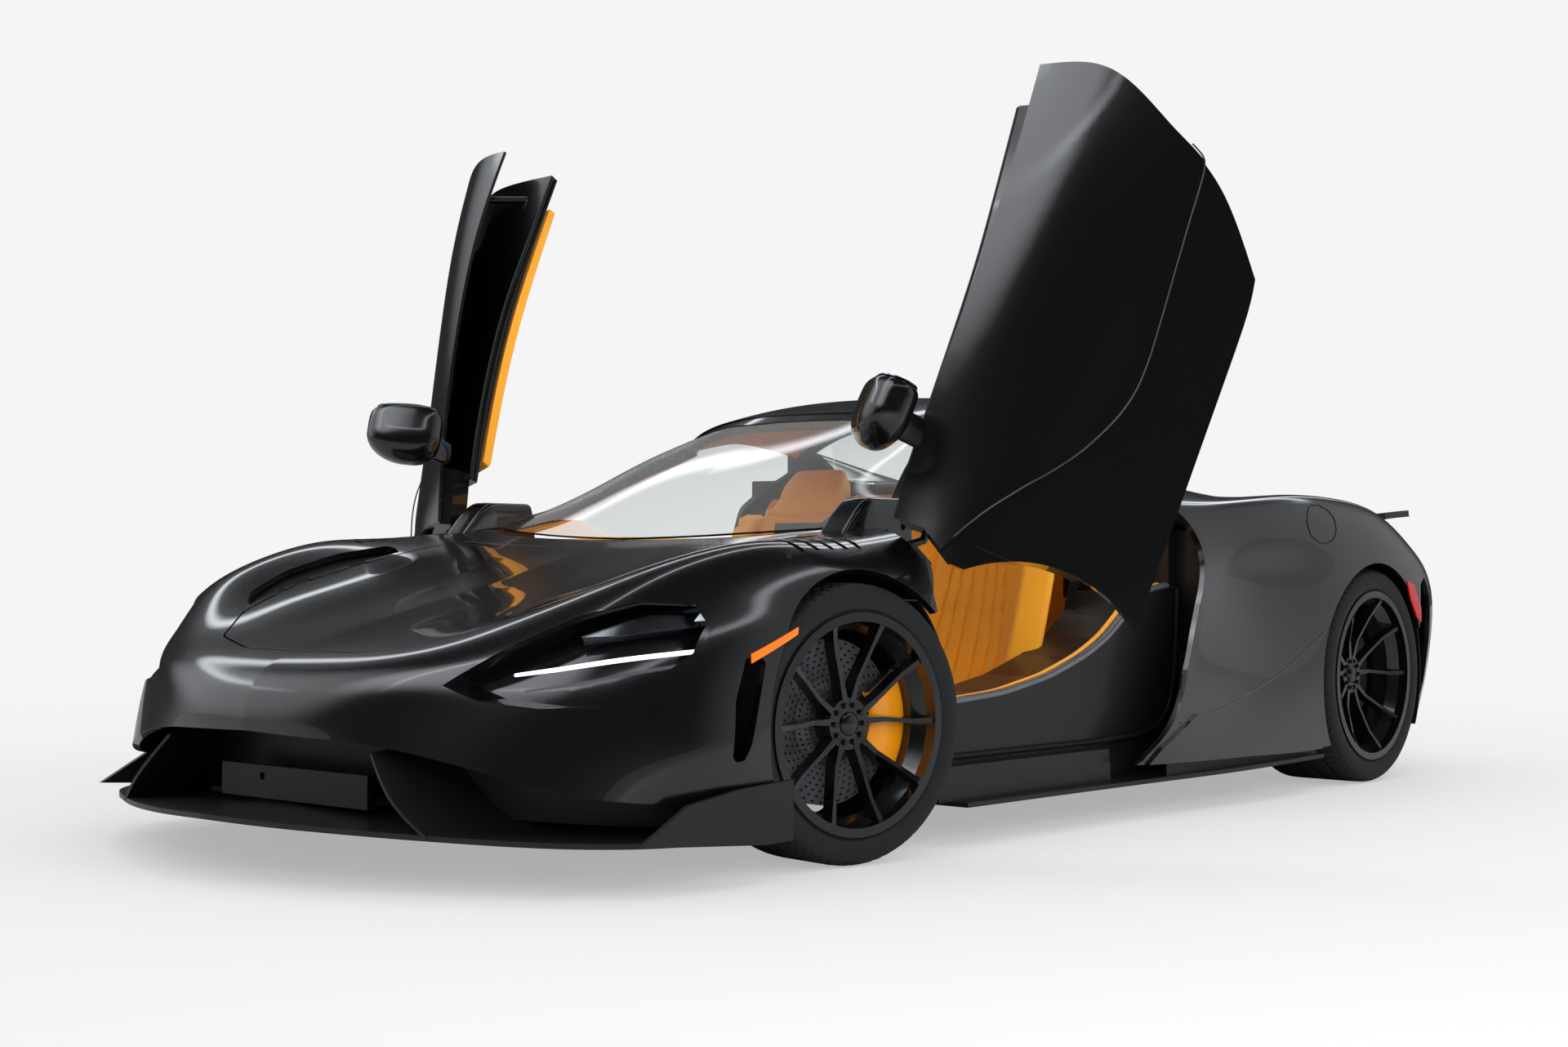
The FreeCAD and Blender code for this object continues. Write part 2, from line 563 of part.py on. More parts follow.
WING_STAY_HIGH_SHARES = (.645, -.925, .85)
WING_FOOT_LOW_SHARES = (.47, -.975, .62)
WING_FOOT_HIGH_SHARES = (.645, -.735, .655)
QUARTER_STAY_LOW_SHARES = (.70, .52, .45)
QUARTER_STAY_HIGH_SHARES = (.95, .56, .80)
QUARTER_FOOT_LOW_SHARES = (.60, .50, .45)
QUARTER_FOOT_HIGH_SHARES = (.80, .56, .80)


def jack_pads():
    """Lifting pads under each sill, lower than the skirts beside them."""
    pads = []
    for x, y in PAD_PLACES_SHARES:
        pad = block(PAD_LOW_SHARES, PAD_HIGH_SHARES)
        pad.translate(at((x, y, 0)))
        pads.append(pad)
    return pads


def tub(keep_clear):
    """The carbon shell: floor, footwell, sills, posts and walls."""
    half = [block((0,) + TUB_FLOOR_LOW_SHARES[1:], TUB_FLOOR_HIGH_SHARES),
            block((0,) + FOOT_FLOOR_LOW_SHARES[1:], FOOT_FLOOR_HIGH_SHARES),
            block(FOOT_WALL_LOW_SHARES, FOOT_WALL_HIGH_SHARES),
            block((0,) + FRONT_WALL_LOW_SHARES[1:], FRONT_WALL_HIGH_SHARES),
            block((0,) + REAR_WALL_LOW_SHARES[1:], REAR_WALL_HIGH_SHARES),
            block((0,) + DASH_WALL_LOW_SHARES[1:], DASH_WALL_HIGH_SHARES),
            block(POST_LOW_SHARES, POST_HIGH_SHARES),
            block(POST_HEAD_LOW_SHARES, POST_HEAD_HIGH_SHARES),
            block(FOOT_JOIN_LOW_SHARES, FOOT_JOIN_HIGH_SHARES),
            block(WING_STAY_LOW_SHARES, WING_STAY_HIGH_SHARES),
            block(WING_FOOT_LOW_SHARES, WING_FOOT_HIGH_SHARES),
            block(QUARTER_STAY_LOW_SHARES, QUARTER_STAY_HIGH_SHARES),
            block(QUARTER_FOOT_LOW_SHARES, QUARTER_FOOT_HIGH_SHARES),
            side_prism(SILL_SHARES, SILL_INNER_SHARE, SILL_OUTER_SHARE),
            side_prism(LEDGE_SHARES, SILL_INNER_SHARE, LEDGE_OUTER_SHARE),
            hinge_pin()] + jack_pads()
    shell = joined(half)
    for piece in keep_clear:
        shell = shell.cut(piece)
    solids = sorted(shell.Solids, key=lambda s: -s.Volume)
    return both_halves(solids[0])


PILLAR_THICKNESS = 42.0
HEADER_THICKNESS = 34.0
ROOF_THICKNESS = 26.0


def windscreen():
    return both_halves(skin(SCREEN_GLASS_SHARES, 0, -GLASS, 25, 17, True))


SCREEN_GLASS_SHARES = tuple(row[:-1] + ((row[-1][0] + .009, row[-1][1], row[-1][2]),) for row in SCREEN_SHARES)


def screen_frame():
    pillar = skin(PILLAR_SHARES, 0, -PILLAR_THICKNESS, 9, 17)
    header = skin(HEADER_SHARES, 0, -HEADER_THICKNESS, 21, 5, True)
    half = joined([pillar, header]).cut(skin(SCREEN_GLASS_SHARES, SKIN, -GLASS, 25, 17, True))
    half = half.cut(skin(ROOF_SHARES, SKIN, -PILLAR_THICKNESS, 21, 17, True))
    solids = sorted(half.Solids, key=lambda s: -s.Volume)
    return both_halves(solids[0])


def roof_panel():
    return both_halves(skin(ROOF_SHARES, 0, -ROOF_THICKNESS, 21, 17, True))


HOOP_SHARES = (
    ((0, .361, 1.179), (.17, .361, 1.174), (.34, .361, 1.149), (.465, .366, 1.099), (.525, .371, 1.057)),
    ((0, .400, 1.168), (.17, .400, 1.162), (.34, .398, 1.136), (.46, .396, 1.082), (.515, .396, 1.040)))
HOOP_THICKNESS = 34.0
HOOP_LEG_LOW_SHARES = (.49, .391, .60)
HOOP_LEG_HIGH_SHARES = (.58, .47, 1.05)


def rear_hoop(deck):
    """The hoop behind the seats that carries the roof's rear edge."""
    beam = skin(HOOP_SHARES, 0, -HOOP_THICKNESS, 21, 5, True)
    roof = skin(ROOF_SHARES, SKIN, -ROOF_THICKNESS, 21, 17, True)
    leg = block(HOOP_LEG_LOW_SHARES, HOOP_LEG_HIGH_SHARES).cut(roof).cut(deck)
    leg = sorted(leg.Solids, key=lambda s: -s.Volume)[0]
    half = joined([beam.cut(roof), leg])
    return both_halves(sorted(half.Solids, key=lambda s: -s.Volume)[0])


REAR_SCREEN_SHARES = (
    ((0, .398, 1.150), (.16, .398, 1.146), (.30, .398, 1.128), (.40, .398, 1.090)),
    ((0, .430, .945), (.16, .430, .945), (.30, .428, .950), (.40, .420, .985)))
DECK_THICKNESS = 14.0


def rear_screen(keep_clear):
    pane = skin(REAR_SCREEN_SHARES, 0, -GLASS, 13, 9, True)
    for piece in keep_clear:
        pane = pane.cut(piece)
    return both_halves(sorted(pane.Solids, key=lambda s: -s.Volume)[0])


def rear_deck():
    return both_halves(skin(DECK_SHARES, 0, -DECK_THICKNESS, 31, 21, True))


VENT_SHARES = ((1.845, .24), (1.90, .22), (1.975, .30), (1.995, .46), (1.985, .60), (1.93, .665), (1.875, .64), (1.86, .45))
VENT_INNER_SHARE = .60
VENT_OUTER_SHARE = 1.10


def quarter_panels():
    half = skin(QUARTER_SHARES, 0, -SKIN, 33, 29)
    half = half.cut(arch(REAR_AXLE, REAR_TYRE_RADIUS, REAR_ARCH_RADIUS))
    half = half.cut(side_prism(VENT_SHARES, VENT_INNER_SHARE, VENT_OUTER_SHARE))
    half = half.cut(skin(DECK_SHARES, SKIN, -DECK_THICKNESS - SKIN, 31, 21, True))
    half = half.cut(skin(WING_SHARES, SKIN, -WING_THICKNESS - SHUT_GAP, 21, 9, True))
    door = skin(DOOR_SHARES, SKIN, -DOOR_SHELL - SHUT_GAP, 21, 25)
    door.translate(V(0, SHUT_GAP, 0))
    half = half.cut(door)
    return pair(sorted(half.Solids, key=lambda s: -s.Volume)[0])


def rear_fascia(quarters):
    half = skin(TAIL_SHARES, 0, SKIN, 21, 13, True)
    return both_halves(sorted(half.cut(quarters).Solids, key=lambda s: -s.Volume)[0])


TAIL_LAMP_SHARES = ((.560, .668), (.700, .672), (.842, .664), (.866, .690), (.850, .706), (.700, .702), (.560, .694))
TAIL_LAMP_PROUD = 8.0
TAIL_FRONT_SHARE = 1.9
TAIL_END_SHARE = 2.4


def tail_lamps():
    """A slim bar lamp at each corner of the tail."""
    whole = skin(TAIL_SHARES, -TAIL_LAMP_PROUD, -SEAT_GAP, 21, 13, True)
    return pair(whole.common(front_prism(TAIL_LAMP_SHARES, TAIL_FRONT_SHARE, TAIL_END_SHARE)))


WING_SHARES = (
    ((0, 1.985, .842), (.30, 1.985, .845), (.55, 1.975, .853), (.70, 1.955, .868), (.80, 1.93, .880)),
    ((0, 2.10, .862), (.30, 2.10, .864), (.55, 2.085, .870), (.70, 2.06, .880), (.80, 2.03, .888)),
    ((0, 2.245, .875), (.30, 2.24, .876), (.55, 2.22, .880), (.70, 2.18, .888), (.80, 2.12, .893)))
WING_THICKNESS = 22.0
WING_POST_LOW_SHARES = (.30, 1.86, .60)
WING_POST_HIGH_SHARES = (.33, 2.15, .862)
TAIL_BEAM_LOW_SHARES = (0, 2.05, .40)
TAIL_BEAM_HIGH_SHARES = (.62, 2.26, .46)
TAIL_ARM_LOW_SHARES = (.3003, 1.60, .40)
TAIL_ARM_HIGH_SHARES = (.36, 2.15, .62)


def rear_wing():
    return both_halves(skin(WING_SHARES, 0, -WING_THICKNESS, 21, 9, True))


REAR_RAIL_LOW_SHARES = (.34, .5003, .20)
REAR_RAIL_HIGH_SHARES = (.40, 1.66, .62)


def rear_frame(keep_clear):
    """Rails behind the rear wall that carry the engine, the tail and the wing's posts."""
    half = joined([block(REAR_RAIL_LOW_SHARES, REAR_RAIL_HIGH_SHARES),
                   block(TAIL_ARM_LOW_SHARES, TAIL_ARM_HIGH_SHARES),
                   block(TAIL_BEAM_LOW_SHARES, TAIL_BEAM_HIGH_SHARES),
                   block(WING_POST_LOW_SHARES, WING_POST_HIGH_SHARES)])
    for piece in keep_clear:
        half = half.cut(piece)
    return both_halves(sorted(half.Solids, key=lambda s: -s.Volume)[0])


# Doors.

BOSS_START = 140.0
BOSS_END = 168.0
PIN_START = 12.0
PIN_END = 172.0
PIN_RADIUS = 8.0
PIN_ROOM = 22.0
BOSS_RADIUS = 17.0
ARM_RADIUS = 10.0
ARM_KNEE_SHARES = (.815, -.815, .672)
ARM_FOOT_SHARES = (.870, -.740, .690)
ARM_ROOM_LOW_SHARES = (.770, -.868, .66)
ARM_ROOM_HIGH_SHARES = (.890, -.70, .85)
DOOR_FRONT_SHARES = ((-.860, .575), (-.860, .610), (-.800, .700), (-.800, 1.20), (.80, 1.20), (.80, -.10), (-.860, -.10))
FRONT_SHUT_SHARES = ((-.880, .570), (-.880, .625), (-.845, .690), (-.838, .760), (-.838, 1.20), (.80, 1.20),
                     (.80, -.10), (-.880, -.10))
DOOR_ROOM_INNER_SHARE = .78
DOOR_ROOM_OUTER_SHARE = 1.10
CREASE_SHARES = ((-1.0, .690), (-.90, .672), (-.797, .628), (-.664, .552), (-.503, .436), (-.350, .365),
                 (-.211, .350), (.024, .373), (.298, .400), (.50, .420))
CREASE_TOP_SHARE = 1.2
FIN = 10.0
LOWER_STEP = 12.0
CREST = 46.0
CREST_TOP = 6.0
CREST_DEPTH = 32.0
CREST_END_SHARE = .30
FRONT_TOP = 4.0
FRONT_DEPTH = 92.0
FRONT_BLOCK_SHARES = ((-.798, .30), (-.63, .30), (-.63, .770), (-.798, .745))
DOOR_BODY = 30.0
STRUT_OUTER_SHARES = (.880, .28, .792)
STRUT_INNER_SHARES = (.712, .30, .790)
STRUT_RADIUS = 11.0


def hinge_axis():
    way = V(*HINGE_AXIS_SHARES)
    way.normalize()
    return way


def hinge_pin():
    way = hinge_axis()
    return rod(at(HINGE_SHARES) + way * PIN_START, at(HINGE_SHARES) + way * PIN_END, PIN_RADIUS)


def pin_room():
    """The clear space round the hinge pin, the door's boss and its arm."""
    way = hinge_axis()
    start = at(HINGE_SHARES) + way * (BOSS_START - BOSS_RADIUS)
    tunnel = rod(start, at(HINGE_SHARES) + way * (PIN_END + PIN_START), PIN_ROOM)
    return tunnel.fuse(block(ARM_ROOM_LOW_SHARES, ARM_ROOM_HIGH_SHARES))


def door_room():
    """All that lies behind the front wing's shut line."""
    return side_prism(FRONT_SHUT_SHARES, DOOR_ROOM_INNER_SHARE, DOOR_ROOM_OUTER_SHARE)


def opened(shape):
    """A left-door piece turned from shut to wide open."""
    turned = shape.copy()
    turned.rotate(at(HINGE_SHARES), hinge_axis(), DOOR_OPEN_SHARE)
    return turned


def above_crease():
    """The region above the line where the door's outer fin ends."""
    points = [at((VENT_INNER_SHARE, y, z)) for y, z in CREASE_SHARES]
    line = Part.BSplineCurve()
    line.interpolate(points)
    back = at((VENT_INNER_SHARE, CREASE_SHARES[-1][0], CREASE_TOP_SHARE))
    front = at((VENT_INNER_SHARE, CREASE_SHARES[0][0], CREASE_TOP_SHARE))
    edges = [line.toShape(), Part.makeLine(points[-1], back), Part.makeLine(back, front),
             Part.makeLine(front, points[0])]
    return Part.Face(Part.Wire(edges)).extrude(V((VENT_OUTER_SHARE - VENT_INNER_SHARE) * X_SIZE, 0, 0))


def crest_strip(above):
    """A strip just above the crease, where the lower skin carries the fin."""
    higher = above.copy()
    higher.translate(V(0, 0, CREST))
    ends = side_prism(((CREASE_SHARES[0][0], 0), (CREST_END_SHARE, 0), (CREST_END_SHARE, CREASE_TOP_SHARE),
                       (CREASE_SHARES[0][0], CREASE_TOP_SHARE)), VENT_INNER_SHARE, VENT_OUTER_SHARE)
    return above.cut(higher).common(ends)


def door_shell():
    """The double-skinned door: an outer fin, an air channel open at the top, and the inner body.

    The fin and the stepped lower skin follow one surface; a crest under the crease and a thick
    front end join them to the body, and a strut steadies the fin's rear top.
    """
    front_room = side_prism(DOOR_FRONT_SHARES, VENT_INNER_SHARE, VENT_OUTER_SHARE)
    front_room = front_room.cut(arch(FRONT_AXLE, FRONT_TYRE_RADIUS, DOOR_ARCH_RADIUS))
    above = above_crease()
    fin = skin(DOOR_SHARES, 0, -FIN, 21, 25).common(above)
    lower = skin(DOOR_SHARES, -LOWER_STEP, -DOOR_SHELL, 21, 25).cut(above)
    crest = skin(DOOR_SHARES, -CREST_TOP, -CREST_DEPTH, 21, 25).common(crest_strip(above))
    front = skin(DOOR_SHARES, -FRONT_TOP, -FRONT_DEPTH, 21, 25)
    front = front.common(side_prism(FRONT_BLOCK_SHARES, VENT_INNER_SHARE, VENT_OUTER_SHARE))
    body = skin(DOOR_BODY_SHARES, 0, -DOOR_BODY, 21, 13)
    strut = rod(at(STRUT_OUTER_SHARES), at(STRUT_INNER_SHARES), STRUT_RADIUS)
    strut = strut.cut(skin(DOOR_SHARES, 2 * SKIN, -CREST_TOP, 21, 25))
    outer = joined([fin, lower, crest, front, body, strut]).common(front_room)
    way = hinge_axis()
    start = at(HINGE_SHARES) + way * BOSS_START
    end = at(HINGE_SHARES) + way * BOSS_END
    knee = at(ARM_KNEE_SHARES)
    arm = [rod((start + end) * 0.5, knee, ARM_RADIUS), Part.makeSphere(ARM_RADIUS, knee),
           rod(knee, at(ARM_FOOT_SHARES), ARM_RADIUS)]
    bore = rod(start - way * PIN_START, end + way * PIN_START, PIN_RADIUS + SEAT_GAP)
    return joined([outer, rod(start, end, BOSS_RADIUS)] + arm).cut(bore)


DOOR_TRIM = 36.0
TRIM_INSET_SHARES = ((-.60, .44), (-.30, .42), (-.10, .46), (.05, .53), (.16, .62), (.24, .70), (.29, .86), (-.60, .86))


def door_trim():
    inner = skin(DOOR_BODY_SHARES, -DOOR_BODY, -DOOR_BODY - DOOR_TRIM, 21, 13)
    return inner.common(side_prism(TRIM_INSET_SHARES, CONSOLE_HALF_SHARE, DOOR_ROOM_OUTER_SHARE))


MIRROR_CENTRE_SHARES = (.960, -.566, .906)
MIRROR_SIZES = (212.0, 104.0, 132.0)
MIRROR_ROUND = 44.0
MIRROR_STALK_RADIUS = 13.0
MIRROR_FOOT_SHARES = (.866, -.570, .780)


def mirror_head(door):
    """The mirror's rounded head on its stalk, at the belt of the shut door."""
    wide, deep, high = MIRROR_SIZES
    head = Part.makeBox(wide, deep, high, at(MIRROR_CENTRE_SHARES) - V(wide, deep, high) * 0.5)
    head = head.makeFillet(MIRROR_ROUND, head.Edges)
    stalk = rod(at(MIRROR_FOOT_SHARES), at(MIRROR_CENTRE_SHARES), MIRROR_STALK_RADIUS)
    whole = joined([head, stalk]).cut(door)
    return sorted(whole.Solids, key=lambda s: -s.Volume)[0]


# Cabin fittings.

SEAT_X_SHARE = .355
SEAT_BASE_SHARES = ((-.40, .175), (.10, .160), (.14, .30), (-.02, .300), (-.36, .335), (-.42, .30))
SEAT_BACK_SHARES = ((.02, .280), (.15, .280), (.335, .80), (.385, .99), (.335, 1.01), (.265, .99), (.17, .78))
SEAT_BASE_HALF_SHARE = .23
SEAT_BACK_HALF_SHARE = .215
SEAT_RAIL_SHARES = ((-.34, .1403), (.06, .1403), (.06, .180), (-.34, .180))
SEAT_RAIL_HALF_SHARE = .17


def seat():
    low = side_prism(SEAT_BASE_SHARES, SEAT_X_SHARE - SEAT_BASE_HALF_SHARE, SEAT_X_SHARE + SEAT_BASE_HALF_SHARE)
    back = side_prism(SEAT_BACK_SHARES, SEAT_X_SHARE - SEAT_BACK_HALF_SHARE, SEAT_X_SHARE + SEAT_BACK_HALF_SHARE)
    rail = side_prism(SEAT_RAIL_SHARES, SEAT_X_SHARE - SEAT_RAIL_HALF_SHARE, SEAT_X_SHARE + SEAT_RAIL_HALF_SHARE)
    return joined([low, back, rail])


DASH_SHARES = ((-.7997, .60), (-.60, .565), (-.50, .62), (-.48, .70), (-.56, .752), (-.7997, .755))
DASH_HALF_SHARE = .640
BINNACLE_SHARES = ((-.64, .70), (-.50, .68), (-.50, .785), (-.62, .80))
BINNACLE_INNER_SHARE = .22
BINNACLE_OUTER_SHARE = .49
CONSOLE_SHARES = ((-.52, .1403), (.4697, .1403), (.4697, .42), (.10, .36), (-.30, .44), (-.50, .56), (-.54, .56))
CONSOLE_HALF_SHARE = .095


def dashboard(keep_clear):
    body = side_prism(DASH_SHARES, -DASH_HALF_SHARE, DASH_HALF_SHARE)
    pod = side_prism(BINNACLE_SHARES, BINNACLE_INNER_SHARE, BINNACLE_OUTER_SHARE)
    middle = steering_middle()
    column = rod(middle - steering_way() * COLUMN_LENGTH, middle - steering_way() * COLUMN_CLEAR, COLUMN_RADIUS)
    whole = joined([body, pod, column])
    for piece in keep_clear:
        whole = whole.cut(piece)
    return sorted(whole.Solids, key=lambda s: -s.Volume)[0]


def console(dash):
    return side_prism(CONSOLE_SHARES, -CONSOLE_HALF_SHARE, CONSOLE_HALF_SHARE).cut(dash)


STEERING_MIDDLE_SHARES = (.355, -.385, .665)
STEERING_WAY_SHARES = (0, .92, .39)
STEERING_RADIUS = 172.0
STEERING_GRIP = 16.0
STEERING_HUB = 52.0
STEERING_SPOKE = 12.0
COLUMN_LENGTH = 190.0
COLUMN_CLEAR = 24.3
COLUMN_RADIUS = 34.0


def steering_middle():
    return at(STEERING_MIDDLE_SHARES)


def steering_way():
    way = V(*STEERING_WAY_SHARES)
    way.normalize()
    return way


def steering_wheel():
    middle = steering_middle()
    way = steering_way()
    grip = Part.makeTorus(STEERING_RADIUS, STEERING_GRIP, middle, way)
    hub = rod(middle - way * (COLUMN_CLEAR - SEAT_GAP), middle, STEERING_HUB)
    side = V(1, 0, 0)
    spoke = rod(middle - side * STEERING_RADIUS, middle + side * STEERING_RADIUS, STEERING_SPOKE)
    down = way.cross(side)
    lower = rod(middle, middle - down * STEERING_RADIUS, STEERING_SPOKE)
    return joined([grip, hub, spoke, lower])


# Front luggage well and the masses and trays below.

WELL_LOW_SHARES = (-.36, -1.80, .24)
WELL_HIGH_SHARES = (.36, -1.2503, .560)
WELL_WALL = 5.0
WELL_RIM_SHARES = ((-1.9, .50), (-1.2, .62), (-1.2, .9), (-1.9, .9))


def luggage_well():
    """An open box under the hood."""
    box = block(WELL_LOW_SHARES, WELL_HIGH_SHARES)
    low = at(WELL_LOW_SHARES)
    high = at(WELL_HIGH_SHARES)
    size = high - low
    hollow = Part.makeBox(size.x - 2 * WELL_WALL, size.y - 2 * WELL_WALL, size.z,
                          low + V(WELL_WALL, WELL_WALL, WELL_WALL))
    shell = box.cut(hollow)
    slope = side_prism(WELL_RIM_SHARES, -VENT_OUTER_SHARE, VENT_OUTER_SHARE)
    return shell.cut(slope)


ENGINE_LOW_SHARES = (-.3397, .62, .17)
ENGINE_HIGH_SHARES = (.3397, 1.30, .74)
GEARBOX_LOW_SHARES = (-.20, 1.30, .17)
GEARBOX_HIGH_SHARES = (.20, 1.80, .50)


def engine():
    return joined([block(ENGINE_LOW_SHARES, ENGINE_HIGH_SHARES), block(GEARBOX_LOW_SHARES, GEARBOX_HIGH_SHARES)])


FRONT_TRAY_LOW_SHARES = (-.50, -1.66, .108)
FRONT_TRAY_HIGH_SHARES = (.50, -1.2503, .124)
REAR_TRAY_LOW_SHARES = (-.60, .5003, .108)
REAR_TRAY_HIGH_SHARES = (.60, 1.60, .124)
CRASH_LOW_SHARES = (.30, -1.92, .20)
CRASH_HIGH_SHARES = (.355, -1.2503, .235)
CRASH_BEAM_LOW_SHARES = (0, -1.97, .20)
CRASH_BEAM_HIGH_SHARES = (.355, -1.90, .30)
CRASH_FOOT_LOW_SHARES = (.30, -1.70, .108)
CRASH_FOOT_HIGH_SHARES = (.355, -1.30, .235)


def front_frame(keep_clear):
    """The crash rails and beam that carry the nose."""
    half = joined([block(CRASH_LOW_SHARES, CRASH_HIGH_SHARES),
                   block(CRASH_BEAM_LOW_SHARES, CRASH_BEAM_HIGH_SHARES),
                   block((0,) + FRONT_TRAY_LOW_SHARES[1:], FRONT_TRAY_HIGH_SHARES),
                   block(CRASH_FOOT_LOW_SHARES, CRASH_FOOT_HIGH_SHARES)])
    for piece in keep_clear:
        half = half.cut(piece)
    return both_halves(sorted(half.Solids, key=lambda s: -s.Volume)[0])


def rear_tray():
    return block(REAR_TRAY_LOW_SHARES, REAR_TRAY_HIGH_SHARES)


DIFFUSER_SHARES = (
    ((0, 1.6003, .124), (.25, 1.6003, .124), (.50, 1.6003, .124), (.585, 1.6003, .124)),
    ((0, 1.95, .175), (.28, 1.95, .175), (.50, 1.93, .175), (.60, 1.90, .175)),
    ((0, 2.28, .29), (.30, 2.27, .29), (.60, 2.22, .29), (.80, 2.10, .29)))
DIFFUSER_THICKNESS = 12.0
FIN_SHARES = ((1.70, .112), (2.20, .118), (2.25, .20), (2.20, .27), (1.95, .172), (1.70, .136))
FIN_PLACES_SHARES = (.14, .30, .46)
FIN_HALF_SHARE = .004


def diffuser():
    half = skin(DIFFUSER_SHARES, 0, -DIFFUSER_THICKNESS, 17, 13, True)
    fins = [side_prism(FIN_SHARES, x - FIN_HALF_SHARE, x + FIN_HALF_SHARE) for x in FIN_PLACES_SHARES]
    return both_halves(joined([half] + fins))


PIPE_PLACES_SHARES = ((.085, .545), (.205, .545))
SILENCER_LOW_SHARES = (-.30, 1.8003, .47)
SILENCER_HIGH_SHARES = (.30, 2.04, .62)
PIPE_RADIUS = 48.0
PIPE_WALL = 3.0
PIPE_FRONT_SHARE = 1.8003
PIPE_BACK_SHARE = 2.265


def exhausts():
    """Four tail pipes, closed at their engine end by the silencer."""
    box = block(SILENCER_LOW_SHARES, SILENCER_HIGH_SHARES)
    pipes = []
    holes = []
    for x, z in PIPE_PLACES_SHARES:
        for side in (1, -1):
            start = at((side * x, PIPE_FRONT_SHARE, z))
            length = (PIPE_BACK_SHARE - PIPE_FRONT_SHARE) * Y_SIZE
            pipes.append(Part.makeCylinder(PIPE_RADIUS, length, start, V(0, 1, 0)))
            inner = V(start.x, start.y + length / 2, start.z)
            holes.append(Part.makeCylinder(PIPE_RADIUS - PIPE_WALL, length, inner, V(0, 1, 0)))
    return joined([box] + pipes).cut(Part.makeCompound(holes))


def pipe_holes():
    cuts = []
    for x, z in PIPE_PLACES_SHARES:
        start = at((x, PIPE_FRONT_SHARE, z))
        cuts.append(Part.makeCylinder(PIPE_RADIUS + SHUT_GAP, OVERRUN * 2, start, V(0, 1, 0)))
    return cuts


SKIRT_SHARES = (
    ((.80, -.70, .1077), (.80, .30, .1077), (.80, .90, .1077), (.80, 1.14, .1077)),
    ((.915, -.70, .1077), (.93, .10, .1077), (.965, .60, .112), (.965, 1.14, .118)))
SKIRT_THICKNESS = 12.0


def side_skirts(quarters):
    blade = skin(SKIRT_SHARES, 0, SKIRT_THICKNESS, 17, 5)
    return pair(sorted(blade.cut(quarters).Solids, key=lambda s: -s.Volume)[0])


FRONT_LINER_INNER = 540.0
FRONT_LINER_OUTER = 925.0
REAR_LINER_INNER = 600.0
REAR_LINER_OUTER = 935.0
LINER_BOTTOM_SHARE = .17
FRONT_GAP_LOW_SHARES = (.50, -1.34, .10)
FRONT_GAP_HIGH_SHARES = (.60, -.95, .56)
REAR_GAP_LOW_SHARES = (.56, 1.33, .10)
REAR_GAP_HIGH_SHARES = (.66, 1.73, .56)


def liner(axle_y, axle_z, radius, inner_x, outer_x, gap_low_shares, gap_high_shares, keep_clear):
    """A wheel-house shell, open outward, with a gap for the suspension."""
    centre = V(inner_x, axle_y, axle_z)
    outer = Part.makeCylinder(radius + LINER_WALL, outer_x - inner_x, centre, V(1, 0, 0))
    hollow = Part.makeCylinder(radius, outer_x, centre + V(LINER_WALL, 0, 0), V(1, 0, 0))
    shell = outer.cut(hollow)
    floor = Part.makeBox(4 * radius, 4 * radius, radius * 2, V(0, axle_y - 2 * radius,
                         LINER_BOTTOM_SHARE * Z_SIZE - radius * 2))
    shell = shell.cut(floor).cut(block(gap_low_shares, gap_high_shares))
    for piece in keep_clear:
        shell = shell.cut(piece)
    return sorted(shell.Solids, key=lambda s: -s.Volume)[0]


def arch_liners(front_clear, rear_clear):
    front = liner(FRONT_AXLE, FRONT_TYRE_RADIUS, LINER_RADIUS, FRONT_LINER_INNER, FRONT_LINER_OUTER,
                  FRONT_GAP_LOW_SHARES, FRONT_GAP_HIGH_SHARES, front_clear)
    rear = liner(REAR_AXLE, REAR_TYRE_RADIUS, LINER_RADIUS, REAR_LINER_INNER, REAR_LINER_OUTER,
                 REAR_GAP_LOW_SHARES, REAR_GAP_HIGH_SHARES, rear_clear)
    return Part.makeCompound([front, flipped(front), rear, flipped(rear)])


# Wheels: built about the origin, +X outward, then put in place.

RIM_INSET = 4.0
FLANGE = 8.0
BEAD = 13.0
SEAT_WIDTH = 30.0
DROP = 34.0
SLOPE = 62.0
RIM_WALL = 8.0
TYRE_WALL = 13.0
HUB_RADIUS = 60.0
HUB_DEPTH = 54.0
CAP_RADIUS = 28.0
CAP_DEPTH = 6.0
FRONT_RECESS = 42.0
REAR_RECESS = 80.0
SPOKES = 10
SPOKE_HUB_ANGLE = 10.0
SPOKE_STEPS_SHARES = ((0, 0, 1.0), (.35, .10, .62), (.72, .45, .55), (1, .90, .80))
SPOKE_WIDTH = 30.0
SPOKE_DEPTH = 30.0
SPOKE_TAPER_SHARE = .6
DISC_BORE = 50.0
DISC_FACE = 16.0
DISC_THICKNESS = 34.0
DISC_BELL = 80.0
DISC_INNER = 104.0
FRONT_DISC_RADIUS = 195.0
REAR_DISC_RADIUS = 190.0
BELL_WALL = 8.0


def turned(points, middle_x=0):
    """A ring from its section, given as (radius, outward) points."""
    wire = [V(a + middle_x, 0, r) for r, a in points]
    face = Part.Face(Part.makePolygon(wire + [wire[0]]))
    return face.revolve(V(0, 0, 0), V(1, 0, 0), 360)


